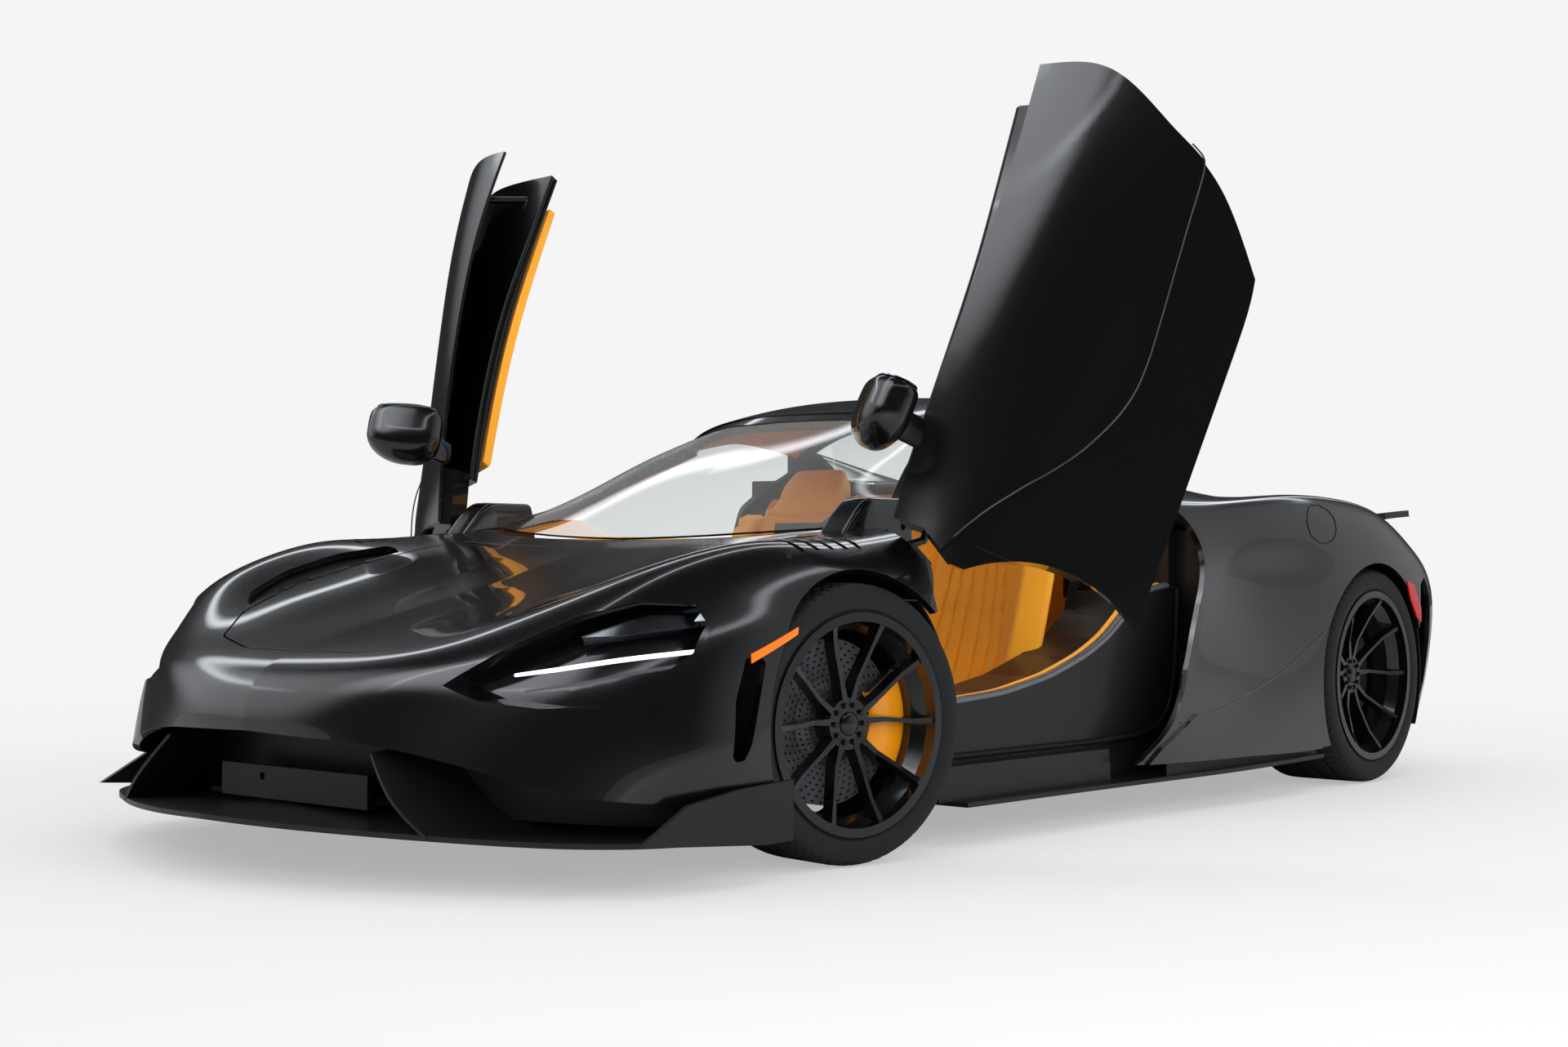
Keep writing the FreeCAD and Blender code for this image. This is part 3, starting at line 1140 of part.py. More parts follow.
def rim_barrel(radius, half):
    seat = radius - BEAD
    well = radius - DROP
    points = [(radius, half), (radius, half - FLANGE), (seat, half - FLANGE), (seat, half - SEAT_WIDTH),
              (well, half - SLOPE), (well, SLOPE - half), (seat, SEAT_WIDTH - half), (seat, FLANGE - half),
              (radius, FLANGE - half), (radius, -half), (seat - RIM_WALL, -half),
              (seat - RIM_WALL, SEAT_WIDTH - half), (well - RIM_WALL, SLOPE - half),
              (well - RIM_WALL, half - SLOPE), (seat - RIM_WALL, half - SEAT_WIDTH), (seat - RIM_WALL, half)]
    return turned(points)


def spoke(radius, half, recess, angle, hub_angle):
    """One tapered spoke that rises from the hub to the rim's outer lip."""
    inner = HUB_RADIUS * SPOKE_TAPER_SHARE
    outer = radius - BEAD - RIM_WALL / 2
    wires = []
    for reach, rise, width in SPOKE_STEPS_SHARES:
        place = inner + (outer - inner) * reach
        turn = math.radians(hub_angle + (angle - hub_angle) * min(1, reach * 1.6))
        out = V(0, math.cos(turn), math.sin(turn))
        side = V(0, -math.sin(turn), math.cos(turn))
        face = half - recess + (recess - FLANGE / 2) * rise
        middle = out * place + V(face, 0, 0)
        wide = side * (SPOKE_WIDTH * width / 2)
        narrow = wide * SPOKE_TAPER_SHARE
        depth = V(SPOKE_DEPTH, 0, 0)
        corners = [middle + narrow, middle - narrow, middle - wide - depth, middle + wide - depth]
        wires.append(Part.makePolygon(corners + [corners[0]]))
    return Part.makeLoft(wires, True, True)


def rim(radius, width, recess):
    half = width / 2 - RIM_INSET
    barrel = rim_barrel(radius, half)
    face = half - recess
    hub = turned([(0, face - HUB_DEPTH), (HUB_RADIUS, face - HUB_DEPTH), (HUB_RADIUS, face),
                  (CAP_RADIUS, face), (CAP_RADIUS, face - CAP_DEPTH), (0, face - CAP_DEPTH)])
    pieces = [barrel, hub]
    step = 360.0 / SPOKES
    for k in range(SPOKES // 2):
        middle = 2 * step * k + 90
        for side in (-1, 1):
            pieces.append(spoke(radius, half, recess, middle + side * step / 2, middle + side * SPOKE_HUB_ANGLE))
    return joined(pieces)


TYRE_LIP = 5.0
TYRE_BULGE_SHARE = .45
SHOULDER = 14.0
SHOULDER_DROP = 4.0
SHOULDER_WIDTH = 34.0


def tyre(radius, width, rim_radius):
    half = width / 2
    bead = half - RIM_INSET - FLANGE - SEAT_GAP
    seat = rim_radius - BEAD + SEAT_GAP
    wall = radius - rim_radius
    bulge = rim_radius + wall * TYRE_BULGE_SHARE
    side = [(seat, bead), (rim_radius + TYRE_LIP, bead), (rim_radius + 2 * TYRE_LIP, half - SEAT_GAP * 4),
            (bulge, half), (radius - SHOULDER, half - SHOULDER / 2), (radius - SHOULDER_DROP, half - SHOULDER_WIDTH / 2),
            (radius, half - SHOULDER_WIDTH)]
    inside = [(radius - TYRE_WALL, half - SHOULDER_WIDTH), (radius - 2 * SHOULDER, half - TYRE_WALL),
              (bulge, half - TYRE_WALL), (rim_radius + TYRE_LIP, bead - TYRE_WALL), (seat, bead - 2 * TYRE_WALL)]
    outer = side + [(r, -a) for r, a in reversed(side)]
    inner = [(r, -a) for r, a in reversed(inside)] + inside
    return turned(outer + inner)


def disc(radius, width, recess):
    """The brake disc and its bell, seated on the hub's back."""
    mount = width / 2 - RIM_INSET - recess - HUB_DEPTH
    face = mount - DISC_FACE
    back = face - DISC_THICKNESS
    return turned([(DISC_BORE, mount), (DISC_BELL, mount), (DISC_INNER, face), (radius, face), (radius, back),
                   (DISC_INNER, back), (DISC_INNER, face - BELL_WALL), (DISC_BELL - BELL_WALL, mount - BELL_WALL),
                   (DISC_BORE, mount - BELL_WALL)])


CALIPER_INNER = 122.0
CALIPER_OUTER = 209.0
CALIPER_HALF_ANGLE = 34.0
CALIPER_GAP = 6.0
CALIPER_CHEEK = 20.0
CARRIER_DEPTH = 34.0
CARRIER_CLEAR = 12.0
UPRIGHT_HALF = 46.0
BALL_RADIUS = 13.0
BALL_HEIGHT = 128.0
BALL_INSET = 53.0


def upright(width, recess, disc_radius):
    """The knuckle: a stub for the hub, a plate with both ball joints, and the brake caliper."""
    mount = width / 2 - RIM_INSET - recess - HUB_DEPTH
    face = mount - DISC_FACE
    back = face - DISC_THICKNESS
    plate_front = back - CARRIER_CLEAR
    plate_back = plate_front - CARRIER_DEPTH
    stub = Part.makeCylinder(DISC_BORE - SEAT_GAP, mount - SEAT_GAP - plate_back, V(plate_back, 0, 0), V(1, 0, 0))
    plate = Part.makeBox(CARRIER_DEPTH, 2 * UPRIGHT_HALF, 2 * BALL_HEIGHT, V(plate_back, -UPRIGHT_HALF, -BALL_HEIGHT))
    arm = Part.makeBox(CARRIER_DEPTH, CALIPER_OUTER - UPRIGHT_HALF, 2 * UPRIGHT_HALF, V(plate_back, 0, -UPRIGHT_HALF))
    caliper = turned([(CALIPER_INNER, face + CALIPER_GAP + CALIPER_CHEEK), (CALIPER_OUTER, face + CALIPER_GAP + CALIPER_CHEEK),
                      (CALIPER_OUTER, plate_back), (CALIPER_INNER, plate_back)])
    slot = turned([(0, face + CALIPER_GAP), (disc_radius + CALIPER_GAP, face + CALIPER_GAP),
                   (disc_radius + CALIPER_GAP, back - CALIPER_GAP), (0, back - CALIPER_GAP)])
    reach = CALIPER_OUTER * 2
    spread = reach * math.tan(math.radians(CALIPER_HALF_ANGLE))
    wedge = Part.Face(Part.makePolygon([V(-OVERRUN, 0, 0), V(-OVERRUN, reach, spread), V(-OVERRUN, reach, -spread),
                                        V(-OVERRUN, 0, 0)])).extrude(V(2 * OVERRUN, 0, 0))
    grip = caliper.common(wedge).cut(slot)
    return joined([stub, plate, arm, grip])


def front_place(shape):
    """Move a wheel piece to the left front and turn it to its rest angle about the kingpin."""
    moved = shape.copy()
    moved.translate(V(FRONT_WHEEL_X, FRONT_AXLE, FRONT_TYRE_RADIUS))
    return moved


def steered(shape, side):
    """Turn a placed front piece about its kingpin."""
    moved = shape.copy()
    moved.rotate(V(side * KINGPIN_X, FRONT_AXLE, 0), V(0, 0, 1), REST_STEER_SHARE)
    return moved


def rear_place(shape):
    moved = shape.copy()
    moved.translate(V(REAR_WHEEL_X, REAR_AXLE, REAR_TYRE_RADIUS))
    return moved


LINK_RADIUS = 13.0
FRONT_LINK_X_SHARE = .5003
FRONT_LINK_SPREAD_SHARE = .12
REAR_LINK_X_SHARE = .4003
REAR_LINK_SPREAD_SHARE = .13
LINK_CLEAR = 0.3


def wishbones(ball_x, axle_y, axle_z, inner_x_share, spread_share, keep_clear):
    """Upper and lower A-arms from the ball joints to the shell."""
    arms = []
    for level in (-1, 1):
        ball = V(ball_x, axle_y, axle_z + level * (BALL_HEIGHT + LINK_RADIUS + LINK_CLEAR))
        legs = [Part.makeSphere(LINK_RADIUS, ball)]
        for way in (-1, 1):
            foot = V(inner_x_share * X_SIZE - LINK_RADIUS, axle_y + way * spread_share * Y_SIZE, ball.z)
            legs.append(rod(ball, foot, LINK_RADIUS))
        arm = joined(legs)
        for piece in keep_clear:
            arm = arm.cut(piece)
        arms.append(sorted(arm.Solids, key=lambda s: -s.Volume)[0])
    return arms


# Assembly: a carrier is cut to the pieces that it carries, so that they seat on it.

clam = front_clam()
lid = hood_lid()
bowls = headlamp_bowls()
split = splitter()
mesh = front_grille(split)
plinth = plate_plinth(mesh)
glass = windscreen()
frame = screen_frame()
roof = roof_panel()
deck = rear_deck()
hoop = rear_hoop(deck)
quarters = quarter_panels()
fascia = rear_fascia(quarters)
for hole in pipe_holes():
    fascia = fascia.cut(hole).cut(flipped(hole))
wing = rear_wing()
cowl = both_halves(skin(COWL_SHARES, 0, -SKIN, 17, 7, True).cut(skin(SCREEN_GLASS_SHARES, 0, -GLASS, 25, 17, True)).Solids[0])
shell = tub([clam, frame, glass, quarters, deck, hoop, cowl])
back_glass = rear_screen([roof, hoop, deck, shell])
nose_frame = front_frame([clam, mesh, plinth, split])
tail_frame = rear_frame([fascia, wing, deck])
motor = engine().cut(tail_frame)
pipes = exhausts().cut(tail_frame)
dash = dashboard([cowl, shell])
tunnel = console(dash)
well = luggage_well().cut(nose_frame)
lid_room = nose_skin(SKIN, -SKIN - SHUT_GAP).common(hood_prism(GUTTER_ROOM_SHARE))
liners = arch_liners([nose_skin(SKIN, -SKIN), lid_room, door_room(), bowls, nose_frame, shell, split],
                     [quarters, deck, tail_frame, shell])
skirts = side_skirts(quarters)

save("front_clam", clam)
save("hood_lid", lid)
save("headlamps", bowls)
save("headlamp_units", headlamp_units())
save("side_markers", side_markers())
save("tail_lamps", tail_lamps())
save("splitter", split)
save("front_grille", mesh)
save("plate_plinth", plinth)
save("windscreen", glass)
save("screen_frame", frame)
save("roof_panel", roof)
save("rear_deck", deck)
save("rear_hoop", hoop)
save("rear_screen", back_glass)
save("quarter_panels", quarters)
save("rear_fascia", fascia)
save("rear_wing", wing)
save("cowl", cowl)
save("tub", shell)
save("front_frame", nose_frame)
save("rear_frame", tail_frame)
save("engine", motor)
save("exhausts", pipes)
save("dashboard", dash)
save("console", tunnel)
save("luggage_well", well)
save("arch_liners", liners)
save("side_skirts", skirts)
save("rear_tray", rear_tray())
save("diffuser", diffuser())
save("seat_left", seat())
save("seat_right", flipped(seat()))
save("steering_wheel", steering_wheel())

shut_door = door_shell()
leaf = opened(shut_door)
trim = opened(door_trim())
mirror = opened(mirror_head(shut_door))
save("door_left_shell", leaf)
save("door_right_shell", flipped(leaf))
save("door_left_trim", trim)
save("door_right_trim", flipped(trim))
save("mirror_left", mirror)
save("mirror_right", flipped(mirror))

front_rim = rim(FRONT_RIM_RADIUS, FRONT_TYRE_WIDTH, FRONT_RECESS)
front_tyre = tyre(FRONT_TYRE_RADIUS, FRONT_TYRE_WIDTH, FRONT_RIM_RADIUS)
front_disc = disc(FRONT_DISC_RADIUS, FRONT_TYRE_WIDTH, FRONT_RECESS)
front_knuckle = upright(FRONT_TYRE_WIDTH, FRONT_RECESS, FRONT_DISC_RADIUS)
rear_rim = rim(REAR_RIM_RADIUS, REAR_TYRE_WIDTH, REAR_RECESS)
rear_tyre = tyre(REAR_TYRE_RADIUS, REAR_TYRE_WIDTH, REAR_RIM_RADIUS)
rear_disc = disc(REAR_DISC_RADIUS, REAR_TYRE_WIDTH, REAR_RECESS)
rear_upright = upright(REAR_TYRE_WIDTH, REAR_RECESS, REAR_DISC_RADIUS)
for name, shape in (("rim", front_rim), ("tyre", front_tyre), ("disc", front_disc), ("knuckle", front_knuckle)):
    placed = front_place(shape)
    save(name + "_front_left", steered(placed, 1))
    save(name + "_front_right", steered(flipped(placed), -1))
for name, shape in (("rim", rear_rim), ("tyre", rear_tyre), ("disc", rear_disc)):
    placed = rear_place(shape)
    save(name + "_rear_left", placed)
    save(name + "_rear_right", flipped(placed))

front_ball_x = KINGPIN_X
rear_ball_x = REAR_WHEEL_X - BALL_INSET
front_arms = wishbones(front_ball_x, FRONT_AXLE, FRONT_TYRE_RADIUS, FRONT_LINK_X_SHARE,
                       FRONT_LINK_SPREAD_SHARE, [shell])
rear_arms = wishbones(rear_ball_x, REAR_AXLE, REAR_TYRE_RADIUS, REAR_LINK_X_SHARE,
                      REAR_LINK_SPREAD_SHARE, [tail_frame])
save("front_wishbones", Part.makeCompound(front_arms + [flipped(a) for a in front_arms]))
placed = rear_place(rear_upright)
save("rear_uprights", pair(placed))
save("rear_wishbones", Part.makeCompound(rear_arms + [flipped(a) for a in rear_arms]))
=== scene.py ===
import json
import math
import bpy
import numpy as np
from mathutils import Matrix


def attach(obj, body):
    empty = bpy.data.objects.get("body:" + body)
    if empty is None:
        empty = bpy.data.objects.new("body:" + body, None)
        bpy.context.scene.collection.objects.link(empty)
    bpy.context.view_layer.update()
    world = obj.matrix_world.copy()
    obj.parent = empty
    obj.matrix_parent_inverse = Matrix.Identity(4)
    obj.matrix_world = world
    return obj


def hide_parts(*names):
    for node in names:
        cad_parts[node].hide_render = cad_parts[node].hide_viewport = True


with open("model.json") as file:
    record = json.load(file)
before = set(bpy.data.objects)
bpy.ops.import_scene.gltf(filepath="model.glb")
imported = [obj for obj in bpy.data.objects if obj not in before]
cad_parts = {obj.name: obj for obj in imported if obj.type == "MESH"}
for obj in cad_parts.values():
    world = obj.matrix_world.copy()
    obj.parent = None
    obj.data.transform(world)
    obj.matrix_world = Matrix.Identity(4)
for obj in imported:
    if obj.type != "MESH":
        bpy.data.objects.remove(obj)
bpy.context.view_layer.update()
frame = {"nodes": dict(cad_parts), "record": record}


# Camera and studio.
# The eye stands low ahead of the car's left front wheel and looks slightly up.
# A pale floor runs into a pale surround, and large soft lamps above and beside draw the lines.
CAMERA_PLACE = (4.0825, -5.2223, 0.7081)
CAMERA_YAW = math.radians(39.786)
CAMERA_RISE = math.radians(0.908)
CAMERA_ROLL = math.radians(0.4285)
CAMERA_LENS = 51.02
CAMERA_SENSOR = 36.0
CAMERA_REACH = 200
FLOOR_HALF = 40.0
PALE = "#f5f5f5"


def linear(code):
    """Turns an sRGB hex colour into the linear values that a shader takes."""
    parts = [int(code[i:i + 2], 16) / 255 for i in (1, 3, 5)]
    return tuple(p / 12.92 if p <= 0.04045 else ((p + 0.055) / 1.055) ** 2.4 for p in parts) + (1.0,)


def add(tree, kind, settings=None, links=None):
    """Adds one node; settings are its inputs and properties, links join its inputs to nodes or outputs."""
    made = tree.nodes.new("ShaderNode" + kind)
    for name, value in (settings or {}).items():
        if isinstance(name, str) and hasattr(made, name) and name not in made.inputs:
            setattr(made, name, value)
        else:
            made.inputs[name].default_value = value
    for name, source in (links or {}).items():
        socket = source.outputs[0] if isinstance(source, bpy.types.Node) else source
        tree.links.new(socket, made.inputs[name])
    return made


def blank(name):
    """A new material and its emptied tree."""
    material = bpy.data.materials.new(name)
    material.use_nodes = True
    tree = material.node_tree
    tree.nodes.clear()
    return material, tree


def eye_matrix(place, yaw, rise, roll):
    """Columns right, up and back: the level frame turned by yaw, raised, then rolled about the view."""
    ahead = np.array([-math.sin(yaw) * math.cos(rise), math.cos(yaw) * math.cos(rise), math.sin(rise)])
    flat = np.array([math.cos(yaw), math.sin(yaw), 0.0])
    above = np.cross(flat, ahead)
    right = math.cos(roll) * flat + math.sin(roll) * above
    up = -math.sin(roll) * flat + math.cos(roll) * above
    matrix = np.eye(4)
    matrix[:3] = np.column_stack([right, up, -ahead, place])
    return matrix


camera_data = bpy.data.cameras.new("camera")
camera_data.lens = CAMERA_LENS
camera_data.sensor_width = CAMERA_SENSOR
camera_data.clip_end = CAMERA_REACH
camera = bpy.data.objects.new("camera", camera_data)
camera.matrix_world = eye_matrix(CAMERA_PLACE, CAMERA_YAW, CAMERA_RISE, CAMERA_ROLL).T.tolist()
bpy.context.scene.collection.objects.link(camera)
bpy.context.scene.camera = camera
bpy.context.scene.view_settings.view_transform = "Standard"


def unit(vectors):
    """Each vector at length one."""
    return vectors / np.maximum(np.linalg.norm(vectors, axis=-1, keepdims=True), 1e-12)


world = bpy.data.worlds.new("studio")
bpy.context.scene.world = world
world.use_nodes = True
sky = world.node_tree
sky.nodes.clear()
rays = add(sky, "LightPath")
seen = add(sky, "Math", {"operation": "MAXIMUM"},
           {0: rays.outputs["Is Camera Ray"], 1: rays.outputs["Is Transmission Ray"]})
shown = add(sky, "Background", {"Color": linear(PALE), "Strength": 1.0})
sky_way = add(sky, "TexCoord").outputs["Generated"]
ROOM_LEVEL = 0.035
# Each soft box has its direction, the cosines at its edge and core, and its power.
# A strip also has the axis across it, its place on that axis and its half width.
SOFTBOXES = (
    ((-.12, -.62, .78), .84, .975, 2.6),
    ((-.80, -.45, .42), .80, .97, 1.0),
    ((.55, .82, .12), .66, .99, 0.44),
    ((-.30, .10, .95), .30, .70, 3.6, (1, 0, 0), -.30, .045),
    ((-.75, .50, .45), .45, .80, 3.2, (0, 0, 1), .52, .045),
    ((.70, -.10, .70), .40, .80, 3.2, (0, 0, 1), .70, .04))


def softbox(sum_so_far, centre, edge, core, power, across=None, offset=0.0, width=1.0):
    """Adds a round glow, full inside core and gone at edge, both as cosines; across narrows it to a strip."""
    centre = unit(np.array(centre, float))
    near = add(sky, "VectorMath", {"operation": "DOT_PRODUCT", 1: centre}, {0: sky_way})
    glow = add(sky, "MapRange",
               {"interpolation_type": "SMOOTHSTEP", "From Min": edge, "From Max": core, "To Max": power},
               {"Value": near.outputs["Value"]})
    if across is not None:
        apart = add(sky, "VectorMath", {"operation": "DOT_PRODUCT", 1: across}, {0: sky_way})
        line = add(sky, "Math", {"operation": "SUBTRACT", 1: offset}, {0: apart.outputs["Value"]})
        gap = add(sky, "Math", {"operation": "ABSOLUTE"}, {0: line})
        band = add(sky, "MapRange",
                   {"interpolation_type": "SMOOTHSTEP", "From Max": width, "To Min": 1.0, "To Max": 0.0},
                   {"Value": gap})
        glow = add(sky, "Math", {"operation": "MULTIPLY"}, {0: glow, 1: band})
    return add(sky, "Math", {"operation": "ADD"}, {0: glow, 1: sum_so_far})


total = add(sky, "Math", {"operation": "ADD", 0: ROOM_LEVEL, 1: 0.0})
for box in SOFTBOXES:
    total = softbox(total, *box)
# Gloss sees the dim room and its soft boxes, other surfaces an even light, and the eye the pale surround.
dark = add(sky, "Background", {"Color": linear("#e9edf2")}, {"Strength": total})
given = add(sky, "Background", {"Color": linear("#eef0f3"), "Strength": 0.95})
lit = add(sky, "MixShader", {}, {0: rays.outputs["Is Glossy Ray"], 1: given, 2: dark})
mixed = add(sky, "MixShader", {}, {0: seen, 1: lit, 2: shown})
add(sky, "OutputWorld", {}, {"Surface": mixed})


def soft_lamp(name, place, aim, width, height, power):
    """A rectangular area lamp at place, facing aim; gloss shows the soft boxes and not the lamps."""
    data = bpy.data.lights.new(name, "AREA")
    data.shape = "RECTANGLE"
    data.size = width
    data.size_y = height
    data.energy = power
    lamp = bpy.data.objects.new(name, data)
    back = unit(np.subtract(place, aim))
    side = unit(np.cross([0, 0, 1], back))
    matrix = np.eye(4)
    matrix[:3] = np.column_stack([side, np.cross(back, side), back, place])
    lamp.matrix_world = matrix.T.tolist()
    lamp.visible_glossy = False
    bpy.context.scene.collection.objects.link(lamp)


soft_lamp("overhead", (0.6, 0.6, 5.0), (0, 0.4, 0), 0.7, 7.0, 70)
soft_lamp("left_strip", (7.0, 1.5, 3.6), (0, 0.3, 0.6), 9.0, 0.5, 110)
soft_lamp("right_strip", (-6.0, -1.0, 3.0), (0, -0.5, 0.6), 8.0, 0.5, 70)
soft_lamp("front_strip", (2.0, -9.0, 4.5), (0, -1.0, 0.5), 6.0, 0.4, 60)
soft_lamp("left_fill", (4.6, -3.8, 1.5), (0.3, 0, 0.5), 2.4, 1.4, 80)
soft_lamp("rear_strip", (-3.0, 7.5, 3.4), (0, 1.5, 0.6), 6.0, 0.5, 70)

# The floor is matt and slightly uneven, is half as bright in gloss, and fades into the pale surround.
FADE_FROM = 2.2
FADE_TO = 7.0
floor_material, tree = blank("pale_studio_floor")
grain = add(tree, "TexNoise", {"Scale": 3.0, "Detail": 4.0})
tone = add(tree, "MapRange", {"To Min": 0.80, "To Max": 0.82}, {"Value": grain})
matt = add(tree, "BsdfPrincipled", {"Roughness": 0.5, "IOR": 1.2}, {"Base Color": tone})
ground = add(tree, "TexCoord")
reach = add(tree, "VectorMath", {"operation": "LENGTH"}, {0: ground.outputs["Object"]})
fade = add(tree, "MapRange",
           {"interpolation_type": "SMOOTHSTEP", "From Min": FADE_FROM, "From Max": FADE_TO, "To Min": 0.45,
            "To Max": 1.0}, {"Value": reach.outputs["Value"]})
rays = add(tree, "LightPath")
seen = add(tree, "Math", {"operation": "MAXIMUM"},
           {0: rays.outputs["Is Camera Ray"], 1: rays.outputs["Is Transmission Ray"]})
unlit = add(tree, "BsdfDiffuse", {"Color": (0, 0, 0, 1)})
dull = add(tree, "Math", {"operation": "MULTIPLY", 1: 0.5}, {0: rays.outputs["Is Glossy Ray"]})
dimmed = add(tree, "MixShader", {}, {0: dull, 1: matt, 2: unlit})
share = add(tree, "Math", {"operation": "MULTIPLY"}, {0: fade, 1: seen})
glow = add(tree, "Emission", {"Color": linear(PALE)})
mixed = add(tree, "MixShader", {}, {0: share, 1: dimmed, 2: glow})
add(tree, "OutputMaterial", {}, {"Surface": mixed})
floor_mesh = bpy.data.meshes.new("floor")
floor_mesh.from_pydata([(x * FLOOR_HALF, y * FLOOR_HALF, 0) for x, y in ((-1, -1), (1, -1), (1, 1), (-1, 1))],
                       [], [(0, 1, 2, 3)])
floor_mesh.materials.append(floor_material)
floor = bpy.data.objects.new("floor", floor_mesh)
bpy.context.scene.collection.objects.link(floor)


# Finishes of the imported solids.
# Each solid that stays in view takes its real material: castings, moulded trim, rubber, glass or hide.
# Every finish is made of nodes in object space, with its grain at the real one's spacing.
MM = 0.001


def grain_of(tree, size_mm):
    """Noise in object space whose lumps are about size_mm across."""
    place = add(tree, "TexCoord")
    return add(tree, "TexNoise", {"Scale": 1 / (size_mm * MM), "Detail": 3.0},
               {"Vector": place.outputs["Object"]})


def coated(name, colour, rough, coat, peel_mm, peel, metallic=0.0):
    """A shaded surface whose height and roughness follow one noise; coat adds a clear layer."""
    material, tree = blank(name)
    noise = grain_of(tree, peel_mm)
    sway = add(tree, "MapRange", {"To Min": rough * 0.85, "To Max": rough * 1.15}, {"Value": noise})
    bump = add(tree, "Bump", {"Strength": peel, "Distance": 0.2 * MM}, {"Height": noise})
    shade = add(tree, "BsdfPrincipled",
                {"Base Color": linear(colour), "Metallic": metallic, "Coat Weight": coat,
                 "Coat Roughness": 0.02},
                {"Roughness": sway, "Normal": bump})
    add(tree, "OutputMaterial", {}, {"Surface": shade})
    return material


# Sprayed lacquer over black is deep and sharp, with barely any orange peel.
paint = coated("gloss_black_lacquer_sprayed", "#050506", 0.25, 1.0, 6.0, 0.012)
# Moulded ABS is a dull black with a fine spark-eroded grain.
plastic = coated("abs_black_moulded", "#0c0c0d", 0.45, 0.0, 0.8, 0.4)
# Cast wheels under black gloss lacquer keep soft highlights on their spokes.
alloy = coated("cast_alloy_black_gloss", "#08080a", 0.25, 0.8, 4.0, 0.05)
# Sand-cast aluminium is grey and rough to the touch.
casting = coated("aluminium_sand_cast", "#8a8c8f", 0.45, 0.0, 1.5, 0.6, 1.0)
# Ground iron is a brushed mid grey.
iron = coated("brake_disc_ground", "#6d6f72", 0.38, 0.0, 2.0, 0.3, 0.6)
# Moulded tyre rubber is matt and a little grey.
rubber = coated("tyre_rubber_moulded", "#17181a", 0.62, 0.0, 1.2, 0.5)
# Brushed exhaust steel has browned a little with heat.
pipe_steel = coated("exhaust_steel_brushed", "#6f655c", 0.3, 0.0, 2.0, 0.3, 1.0)
# Smoked polycarbonate looks black and wet.
lens_dark = coated("lamp_moulding_smoked", "#0a0b0d", 0.2, 1.0, 5.0, 0.02)


def hide_material(name, colour):
    """Hide: pebbled cells parted by furrows raise the surface, and a broad noise warms the tint."""
    material, tree = blank(name)
    place = add(tree, "TexCoord")
    cells = add(tree, "TexVoronoi", {"Scale": 1 / (1.6 * MM), "feature": "DISTANCE_TO_EDGE"},
                {"Vector": place.outputs["Object"]})
    broad = grain_of(tree, 60.0)
    furrow = add(tree, "MapRange", {"From Max": 0.08, "To Min": 0.0, "To Max": 1.0}, {"Value": cells})
    tint = add(tree, "Mix", {"data_type": "RGBA", 6: linear(colour), 7: linear("#ffae1a")}, {0: broad})
    bump = add(tree, "Bump", {"Strength": 0.25, "Distance": 0.3 * MM}, {"Height": furrow})
    shade = add(tree, "BsdfPrincipled", {"Roughness": 0.5, "Sheen Weight": 0.15},
                {"Base Color": tint.outputs[2], "Normal": bump})
    add(tree, "OutputMaterial", {}, {"Surface": shade})
    return material


# Dyed leather is a warm, even orange with a soft sheen.
hide = hide_material("leather_orange_pebbled", "#fca60e")


def carbon_material(name, cell_mm):
    """Woven tows drawn as a fine chequer of two blacks, coarse enough to show, under thin clear lacquer."""
    material, tree = blank(name)
    place = add(tree, "TexCoord")
    weave = add(tree, "TexChecker",
                {"Scale": 1 / (cell_mm * MM), "Color1": linear("#141416"), "Color2": linear("#050506")},
                {"Vector": place.outputs["Object"]})
    shade = add(tree, "BsdfPrincipled",
                {"Roughness": 0.5, "Coat Weight": 0.3, "Coat Roughness": 0.15},
                {"Base Color": weave})
    add(tree, "OutputMaterial", {}, {"Surface": shade})
    return material


carbon = carbon_material("carbon_twill_lacquered", 3.0)


def glass_material(name, tint, rough):
    """Clear float glass: nearly all light passes, the rest is a sharp reflection."""
    material, tree = blank(name)
    noise = grain_of(tree, 300.0)
    bump = add(tree, "Bump", {"Strength": 0.004, "Distance": 0.5 * MM}, {"Height": noise})
    shade = add(tree, "BsdfPrincipled",
                {"Base Color": linear(tint), "Roughness": rough, "Transmission Weight": 1.0, "IOR": 1.45},
                {"Normal": bump})
    rays = add(tree, "LightPath")
    lighting = add(tree, "Math", {"operation": "MAXIMUM"},
                   {0: rays.outputs["Is Shadow Ray"], 1: rays.outputs["Is Diffuse Ray"]})
    clear = add(tree, "BsdfTransparent", {"Color": linear(tint)})
    passed = add(tree, "MixShader", {}, {0: lighting, 1: shade, 2: clear})
    add(tree, "OutputMaterial", {}, {"Surface": passed})
    return material


glass = glass_material("float_glass_clear", "#f2f6f6", 0.0)

finishes = {"painted": paint, "carbon": carbon, "plastic": plastic, "glass": glass, "lens": lens_dark,
            "alloy": alloy, "casting": casting, "disc": iron, "rubber": rubber, "hide": hide,
            "engine": casting, "pipe": pipe_steel}
slots = {part["node"]: part["material_slot"] for part in frame["record"]["subparts"]}
for node_name, node_object in frame["nodes"].items():
    node_object.data.materials.clear()
    node_object.data.materials.append(finishes[slots[node_name]])


